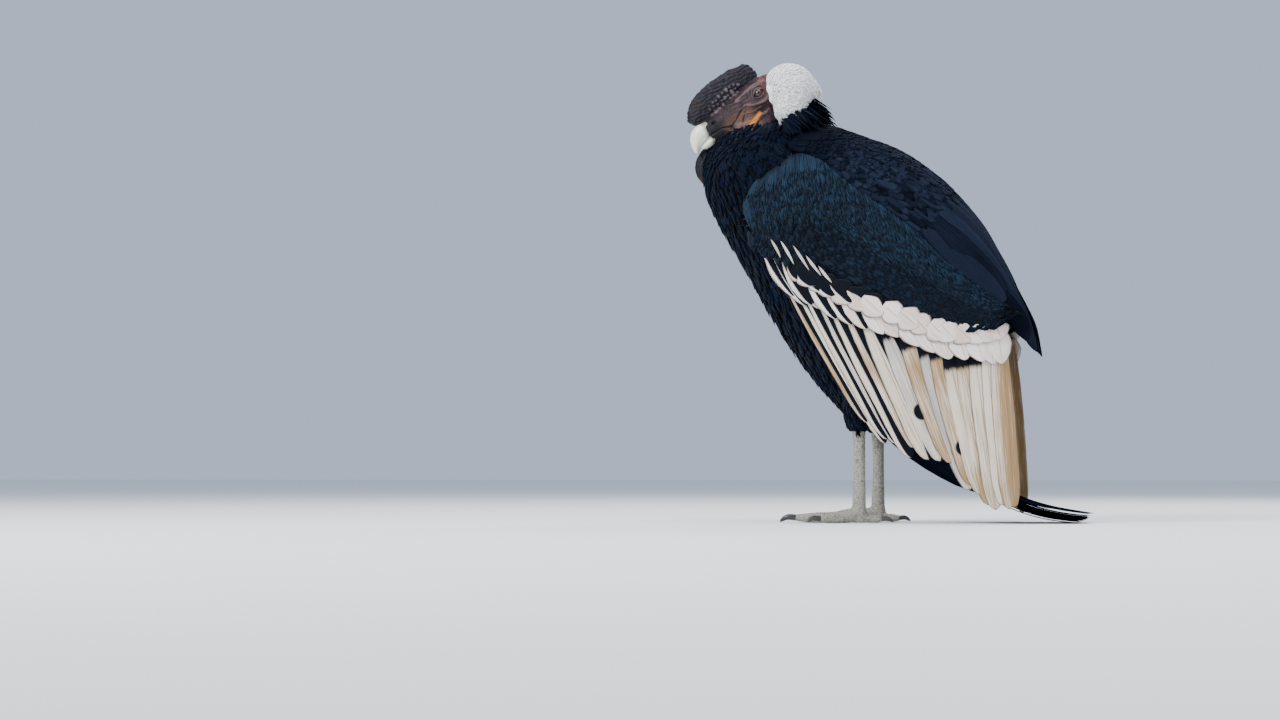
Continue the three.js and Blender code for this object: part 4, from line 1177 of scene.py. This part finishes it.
def flightRow(coat, kind, mirrored, seed, column):
    # Vanes down the skirt, the ones nearer the elbow over the ones nearer the wrist
    row = flightRows[kind]
    order = np.random.default_rng(seed)
    count = row["count"]
    place = (np.arange(count) + 0.5 + order.uniform(-0.14, 0.14, count)) / count
    u = row["from"] + (0.975 - row["slant"] - row["from"]) * place ** row["crowd"]
    end = threeWay(row["reach"], u) * (1 + order.uniform(-0.07, 0.04, count))
    shape = outline(row["rows"], 0.35, 0.5, row["fall"], 0.1, row["blunt"])
    w = row["start"] + (end - row["start"])[:, None] * shape[0]
    us = u[:, None] + (row["slant"] + order.normal(0, 0.004, (count, 1))) * shape[0]
    line = skirt(us, w, row["depth"] + order.uniform(-0.5, 0.5, (count, 1)))
    normal = normalOn(skirt, us, w)
    width = row["width"] * order.uniform(0.92, 1.06, count)
    width = width * mix(row["narrow"], 1, np.sin(math.pi * np.clip(u, 0, 1)))
    inner = mix(row["inner"][0], row["inner"][1], smooth(0.22, 0.56, u)) + order.uniform(-0.1, 0.1, count)
    total = sum(item["count"] for item in flightRows.values())
    spot = np.stack([(np.arange(count) + column) / total, np.full(count, 0.02)], -1)
    marks = {"inner": inner, "notchAt": np.full(count, -9.0), "notchEdge": np.zeros(count),
             "darkTo": np.zeros(count)}
    if "dark" in row:
        dark = row["dark"] + order.uniform(-0.02, 0.02, count)
        marks["darkTo"] = dark * smooth(0.28, 0.4, u) * smooth(0.98, 0.7, u)
        for at, share, edge in row["notches"]:
            chosen = np.argmin(np.abs(u - at))
            marks["notchAt"][chosen], marks["notchEdge"][chosen] = share, edge
    coat.add(line, normal, width, shape, columns=row["columns"], thick=row["thick"], cup=0.12,
             roll=math.radians(row["roll"]), spot=spot, patch=(0.9 / total, 0.95), marks=marks, fray=0.05,
             mirrored=mirrored)
    return column + count


paleEdges = [(0.06, 0.1, 34), (0.1, 0.13, 44), (0.15, 0.13, 48), (0.2, 0.1, 42), (0.25, 0.07, 36)]


def paleStreaks(coat, mirrored):
    # A few thin pale feather edges that lie on the dark coverts above the wrist end of the white ones,
    # each with its place on the wing and its length
    u, v, length = np.array(paleEdges).T
    count, shape = len(paleEdges), outline(9, 0.1, 0.45, 0.4, 0.04, 0.9)
    heading = np.tile(unit(np.array([0.62, 0, -0.78])), (count, 1))
    surface = lambda a, b: wingSurface(a, b, -0.8)
    lift = mix(-2.5, 0.4, np.sin(math.pi * np.minimum(1, shape[0] * 1.4) / 2)) * np.ones((count, 1))
    line, normal = layOn(surface, u, v, heading, length, lift, shape[0], -1)
    spot = np.stack([np.arange(count) / 60 + 0.9, np.full(count, 0.99)], -1)
    coat.add(line, normal, 5.0, shape, thick=0.5, cup=0.1, spot=spot, mirrored=mirrored,
             marks={"inner": 3.0, "notchAt": -9.0})


def flightPieces(side):
    # Two rows of white coverts over the secondaries, then the primaries
    mirrored = side == "left"
    seed = 61 if mirrored else 71
    white, long = Coat(), Coat()
    column = flightRow(white, "lowerWhite", mirrored, seed, 0)
    column = flightRow(white, "upperWhite", mirrored, seed + 1, column)
    flightRow(long, "secondaries", mirrored, seed + 2, column)
    paleStreaks(white, mirrored)
    white.build(f"whiteCoverts_{side}", materials["white"], "white_feathers", [f"coverts_{side}"])
    long.build(f"secondaries_{side}_vanes", materials["pale"], "white_feathers", [f"secondaries_{side}"])
    primaryPiece(side)


def bowed(root, bend, tip, s):
    # Quadratic curve from root to tip, drawn towards the bend
    s = np.asarray(s, float)[..., None]
    return root * (1 - s) ** 2 + bend * 2 * s * (1 - s) + tip * s**2


def fanPiece(name, sizes, line, face, shape, nodes, mirrored=False):
    # One row of long black feathers, each on its own strip of the bake map, none of it under the floor
    count = sizes["count"]
    coat = Coat()
    spot = np.stack([np.arange(count) / count, np.full(count, 0.02)], -1)
    coat.add(line, face, sizes["width"], shape, columns=9, thick=sizes["thick"], cup=sizes["cup"], spot=spot,
             roll=np.radians(sizes["roll"]), patch=(0.9 / count, 0.95), fray=0.03, mirrored=mirrored)
    coat.points[0][:, 2] = np.maximum(coat.points[0][:, 2], 0.1)
    coat.build(name, materials["flight"], "black_feathers", nodes)


# Primaries: where on the skirt the row starts, then bends and tips of its first and last feather
primarySizes = {
    "count": 9, "from": (0.05, 0.42), "depth": 20.5, "bend": ((38, 85, 42), (108, 84, 68)),
    "tip": ((358, 36, 15), (292, 69, 24)), "width": 42, "thick": 1.7, "roll": 10,
    "cup": 0.06, "outline": (26, 0.36, 0.5, 0.62, 0.1, 0.6),
}


def primaryPiece(side):
    # Long black primaries from the wrist to just above the tail, the inner ones over the outer ones
    count, shape = primarySizes["count"], outline(*primarySizes["outline"])
    k = (np.arange(count) / (count - 1))[:, None]
    s = shape[0] * np.ones((count, 1))
    start = mix(*primarySizes["from"], k[:, 0])
    root = skirt(start, 0.055, primarySizes["depth"])[:, None]
    bend, tip = (mix(*np.array(primarySizes[key], float), k[..., None]) for key in ("bend", "tip"))
    line = bowed(root, bend, tip, s)
    first = normalOn(skirt, start, 0.1)[:, None]
    turn, lay = smooth(0, 0.4, s)[..., None], smooth(0.45, 0.95, s)[..., None]
    face = mix(mix(first, np.array([0, 1, 0.1]), turn), np.array([0, 0.15, 1.0]), lay)
    fanPiece(f"primaries_{side}_vanes", primarySizes, line, unit(face), shape, [f"primaries_{side}"],
             side == "left")


# Back: scapulars that grow towards the tail, then long tertials. From and to: shares of the roof from
# front to back. Span and under: where the body under them lies, and how deep its two faces are.
backCoat = {
    "small": {"count": 700, "length": (32, 50), "width": (14, 21), "from": (-0.03, 0.3)},
    "large": {"count": 330, "length": (60, 92), "width": (22, 30), "from": (0.22, 0.64)},
    "lift": (-2.5, 0.9), "loose": (-0.3, 0.6), "inset": -2.0, "stray": 0.07, "thick": 0.5, "cup": 0.14,
    "span": (0.045, 0.74), "under": (-3.5, -13.0),
    "tertials": ({"from": 0.5, "to": 0.84, "count": 6, "width": 36, "lift": 2.0},
                 {"from": 0.6, "to": 1.0, "count": 7, "width": 33, "lift": -1.0}),
}


def backPieces(side):
    # One side of the back: a closed underlay, two rows of tertials, then large and small scapulars
    mirrored = side == "left"
    seed = 81 if mirrored else 91
    coat = Coat()
    u, w = np.linspace(*backCoat["span"], 50)[:, None], np.linspace(0.0, 0.98, 30)[None]
    outer, inner = (roof(u, w, depth) for depth in backCoat["under"])
    for grid in (outer, inner):
        grid[..., 1] = np.maximum(grid[..., 1], 0.1)
    underlay(coat, slab(outer, inner), mirrored)
    for row in reversed(backCoat["tertials"]):
        order = np.random.default_rng(seed)
        seed += 1
        count = row["count"]
        shape = outline(20, 0.5, 0.4, 0.66, 0.1, 0.6)
        place = mix(0.06, 1.0, (np.arange(count) + 0.5) / count)
        end = row["to"] - 0.06 * place**2 + order.uniform(-0.012, 0.012, count)
        us = mix(np.full((count, 1), row["from"]), end[:, None], shape[0])
        lift = row["lift"] + mix(-3.5, 1.5, smooth(0, 0.5, shape[0]))
        line = roof(us, place[:, None], lift)
        normal = unit(roof(us, place[:, None], 10.0) - roof(us, place[:, None]))
        spot = np.stack([np.clip(place * 0.85, 0, 0.85), np.full(count, row["from"])], -1)
        coat.add(line, normal, row["width"], shape, columns=7, thick=1.1, cup=0.12, roll=math.radians(8),
                 spot=spot, patch=(0.1, 0.3), fray=0.04, mirrored=mirrored)
    surface = lambda a, b: roof(a, b, backCoat["inset"])
    for kind in ("large", "small"):
        sizes = backCoat[kind]
        order = np.random.default_rng(seed)
        u, w = scattered(sizes["count"], (sizes["from"][0], 0.0), (sizes["from"][1], 1.02), seed)
        seed += 1
        shape = outline(7, 0.5, 0.45, 0.5, 0.1, 0.6)
        s = shape[0]
        heading = strayed(order, unit(surface(u + 1e-3, w) - surface(u, w)), backCoat["stray"])
        length = order.uniform(*sizes["length"], len(u))
        lift = raised(order, len(u), backCoat["lift"], backCoat["loose"], s)
        line, normal = layOn(surface, u, w, heading, length, lift, s)
        tone = order.uniform(0, 1, len(u)) * smooth(-0.02, 0.16, u)
        width = order.uniform(*sizes["width"], len(u))
        coat.add(line, normal, width, shape, columns=5, thick=backCoat["thick"], cup=backCoat["cup"],
                 tone=tone, spot=spotAt(w, u), roll=order.normal(0.05, 0.06, len(u)), fray=0.04,
                 mirrored=mirrored)
    coat.build(f"backCoat_{side}", materials["back"], "slate_feathers", [f"scapulars_{side}"])


# Tail: layer is the step down from one feather to the next; fan is how far out the roots, bends and tips
# of the outer ones lie; root and bend are an x and a z; tip is how far back they end, and how much less
# the outer ones; low is the height of the lowest tip
tailSizes = {
    "count": 12, "layer": 1.7, "fan": (22, 49, 58), "root": (111, 143), "bend": (176, 9), "tip": (352, 16),
    "low": 1.4, "width": 33, "thick": 1.6, "roll": [-2.5] * 6 + [2.5] * 6, "cup": 0.0,
    "outline": (26, 0.4, 0.5, 0.75, 0.3, 0.5),
    "rump": ([(96, 0, 166), (116, 0, 147), (134, 0, 124)], [15, 22, 23, 14]),
}


def tailPiece():
    # Twelve feathers, the middle pair on top, each one outwards a step lower, their ends on the floor
    count, shape = tailSizes["count"], outline(*tailSizes["outline"])
    i = np.arange(count)
    across = (2 * i / (count - 1) - 1)[:, None]
    layer = (tailSizes["layer"] * (np.minimum(i, count - 1 - i) + (i == count // 2)))[:, None]
    out = [across * far for far in tailSizes["fan"]]
    (rootX, rootZ), (bendX, bendZ) = tailSizes["root"], tailSizes["bend"]
    reach, curved = tailSizes["tip"]
    root = np.stack([rootX + layer, out[0], rootZ + layer], -1)
    bend = np.stack([bendX + layer * 0.9, out[1], bendZ + layer * 1.1], -1)
    tip = np.stack([reach - curved * across**2, out[2], tailSizes["low"] + layer], -1)
    s = shape[0] * np.ones((count, 1))
    face = unit(np.stack([mix(0.7, 0.05, s), np.zeros_like(s), mix(0.7, 1, s)], -1))
    fanPiece("tailVanes", tailSizes, bowed(root, bend, tip, s), face, shape, ["tail"])
    rump = limbSkin(*tailSizes["rump"], 20, 30, 0.74)
    finished(putMesh("rump", *rump), materials["breast"], [])


# Ruff: a horseshoe tube of down round the nape, open at the throat, with the radii along it, and the
# narrow feathers under it; lengths in millimetres
ruffSizes = {
    "path": [(-126, 52, 640), (-112, 58, 662), (-111, 42, 690), (-121, 0, 696), (-111, -42, 690),
             (-112, -58, 662), (-126, -52, 640)],
    "radius": [15, 29, 40, 46, 40, 29, 15], "core": 0.88, "tufts": 5200, "length": (14, 26), "width": (4, 7),
    "lift": (-1.5, 2.0), "loose": (-0.6, 1.3), "stray": 0.22,
    "nape": {"count": 420, "from": (0.04, 0.54), "to": (0.96, 0.8), "length": (30, 52), "width": (6, 10),
             "stray": 0.12, "sag": 6},
}


def ruffSurface(a, b, share=1.0):
    # A point at share a round the horseshoe and angle b round its tube
    a, b = paired(a, b)
    centre = curve(ruffSizes["path"], a)
    along = unit(curve(ruffSizes["path"], a + 0.005) - curve(ruffSizes["path"], a - 0.005))
    out = -unit(np.cross(np.array([0, 0, 1.0]), along))
    towards = centre[..., 0] + 150
    out = out * np.where(out[..., 0] * towards + out[..., 1] * centre[..., 1] < 0, -1, 1)[..., None]
    top = unit(np.cross(out, along))
    top = top * np.where(top[..., 2] < 0, -1, 1)[..., None]
    k = np.clip(a, 0, 1) * (len(ruffSizes["radius"]) - 1)
    low = np.minimum(k.astype(int), len(ruffSizes["radius"]) - 2)
    radii = np.asarray(ruffSizes["radius"], float)
    end = np.minimum(1, np.clip(np.minimum(a, 1 - a), 0, 1) / 0.07)
    radius = mix(radii[low], radii[low + 1], smooth(0, 1, k - low)) * share * np.sqrt(1 - (1 - end) ** 2)
    return centre - out * (np.cos(b) * radius)[..., None] + top * (np.sin(b) * radius)[..., None]


def ruffPieces():
    # A lumpy core of the horseshoe, and tufts of down that lie back over it, some of them longer locks
    shape = outline(5, 0.6, 0.4, 0.3, 0.06, 0.8)
    s = shape[0]
    a, b = np.linspace(0.004, 0.996, 70)[:, None], around(60)
    rings = ruffSurface(a, b, ruffSizes["core"])
    lumps = ripple(rings, 16, 8)[..., None]
    middles = rings.mean(1, keepdims=True)
    rings = rings + unit(rings - middles) * lumps * 1.2
    points, faces = tube(rings, [middles[0, 0], middles[-1, 0]])
    finished(putMesh("ruffCore", points, faces, {"share": np.full(len(points), 0.5)}), materials["down"],
             [])
    surface = lambda u, v: ruffSurface(u, v * 2 * math.pi, 0.9)
    sign = outwardOf(surface, lambda u: curve(ruffSizes["path"], u), np.array([0.5]), np.array([0.3]))
    order = np.random.default_rng(7)
    u, v = scattered(ruffSizes["tufts"], (0.0, 0.02), (1.0, 1.0), 9)
    v = 0.02 + (v - 0.02) * mix(0.84, 0.65, smooth(0, 0.25, np.minimum(u, 1 - u)))
    heading = unit(surface(u, v + 1e-3) - surface(u, v)) * 0.7 + np.array([0.55, 0, -0.25])
    heading = strayed(order, heading, ruffSizes["stray"])
    length = order.uniform(*ruffSizes["length"], len(u)) * mix(0.6, 1, np.sin(math.pi * u))
    locks = smooth(0.5, 0.62, v) * (order.uniform(0, 1, len(u)) > 0.72)
    length = length * (1 + locks * order.uniform(0.5, 1.3, len(u)))
    lift = mix(*ruffSizes["lift"], s)[None] + order.uniform(*ruffSizes["loose"], (len(u), 1)) * s**2
    line, normal = layOn(surface, u, v, heading, length, lift, s, sign)
    coat = Coat()
    coat.add(line, normal, order.uniform(*ruffSizes["width"], len(u)), shape, thick=0.9, cup=0.3,
             spot=spotAt(u, v), roll=order.normal(0, 0.16, len(u)))
    coat.build("ruffDown", materials["down"], "white_down", ["ruff"])
    napePiece(surface)


def napePiece(surface):
    # Narrow black feathers that stick out from under the ruff, fanned backwards and down
    shape = outline(7, 0.4, 0.35, 0.3, 0.04, 0.9)
    s = shape[0]
    sizes = ruffSizes["nape"]
    order = np.random.default_rng(17)
    u, v = scattered(sizes["count"], sizes["from"], sizes["to"], 19)
    place, inside = surface(u, v), curve(ruffSizes["path"], u)
    root, away = mix(inside, place, 0.82), unit(place - inside)
    heading = strayed(order, away * 0.35 + np.array([0.75, 0, -0.6]), sizes["stray"])
    length = order.uniform(*sizes["length"], len(u))
    sag = np.array([0, 0, -sizes["sag"]]) * (s**2)[:, None]
    line = root[:, None] + heading[:, None] * (length[:, None] * s)[..., None] + sag
    normal = unit(away + np.array([0.1, 0, 0.7]))[:, None] * np.ones((1, len(s), 1))
    coat = Coat()
    coat.add(line, normal, order.uniform(*sizes["width"], len(u)), shape, thick=0.5, cup=0.3,
             spot=spotAt(u, v), roll=order.normal(0, 0.3, len(u)))
    coat.build("napeFeathers", materials["breast"], "black_feathers", [])


# Studio

# Turn of the view in degrees; how far off the camera is and the two heights and the side shift of its
# line, in millimetres; lamps: place in metres, power in watts and width; reach: half the floor, in metres
studio = {"turn": 12, "far": 4000, "height": 80, "aim": 259, "aside": -360, "focal": 70.3, "sensor": 36,
          "clip": 60, "lit": (0, 0, 0.38), "reach": 20,
          "floor": tint(240, 240, 238), "world": (0.56, 0.66, 0.85, 1), "worldPower": 0.9,
          "lamps": {"key": ((-2.2, -2.6, 2.6), 190, 1.4), "fill": ((2.6, -2.4, 1.4), 40, 2.4),
                    "back": ((0.9, 2.6, 2.6), 60, 1.6), "top": ((0, -0.2, 3.4), 80, 2.0)}}


def lookAt(obj, place, aim):
    # Puts an object at its place with its -Z axis towards the aim
    obj.location = place
    obj.rotation_euler = (Vector(aim) - Vector(place)).to_track_quat("-Z", "Y").to_euler()


def setStudio():
    # Camera at the turn of the photo's view, four soft lamps, an even sky and a pale floor
    turn = math.radians(studio["turn"])
    right = np.array([math.cos(turn), math.sin(turn), 0])
    rise = math.asin((studio["aim"] - studio["height"]) / studio["far"])
    view = np.array([-math.sin(turn) * math.cos(rise), math.cos(turn) * math.cos(rise), math.sin(rise)])
    aim = np.array([0, 0, studio["aim"]]) + right * studio["aside"]
    place = aim - view * studio["far"]
    camera = bpy.data.objects.new("camera", bpy.data.cameras.new("camera"))
    camera.data.lens, camera.data.sensor_width = studio["focal"], studio["sensor"]
    camera.data.clip_end = studio["clip"]
    bpy.context.scene.collection.objects.link(camera)
    lookAt(camera, toRow(place), toRow(aim))
    bpy.context.scene.camera = camera
    for name, (place, power, size) in studio["lamps"].items():
        lamp = bpy.data.objects.new(name, bpy.data.lights.new(name, "AREA"))
        lamp.data.energy, lamp.data.size = power, size
        bpy.context.scene.collection.objects.link(lamp)
        lookAt(lamp, place, studio["lit"])
    world = bpy.data.worlds.new("studio")
    world.use_nodes = True
    glow = world.node_tree.nodes["Background"].inputs
    glow["Color"].default_value = studio["world"]
    glow["Strength"].default_value = studio["worldPower"]
    bpy.context.scene.world = world
    floor = Shader("studioFloor", Roughness=0.75)
    grain = floor.noise(3.0)
    floor.finish(Base_Color=floor.blend(grain * 0.12, studio["floor"], tint(224, 224, 223)))
    points = np.array([(-1, -1, 0), (1, -1, 0), (1, 1, 0), (-1, 1, 0)]) * studio["reach"] * 1000.0
    ground = putMesh("floor", points, np.array([[0, 1, 2, 3]]))
    ground.data.materials.append(floor.material)


setStudio()
skinPiece()
billPieces()
eyePieces()
clawPieces()
bodyPieces()
for wingSide in sideSign:
    wingPieces(wingSide)
    flightPieces(wingSide)
    backPieces(wingSide)
tailPiece()
ruffPieces()
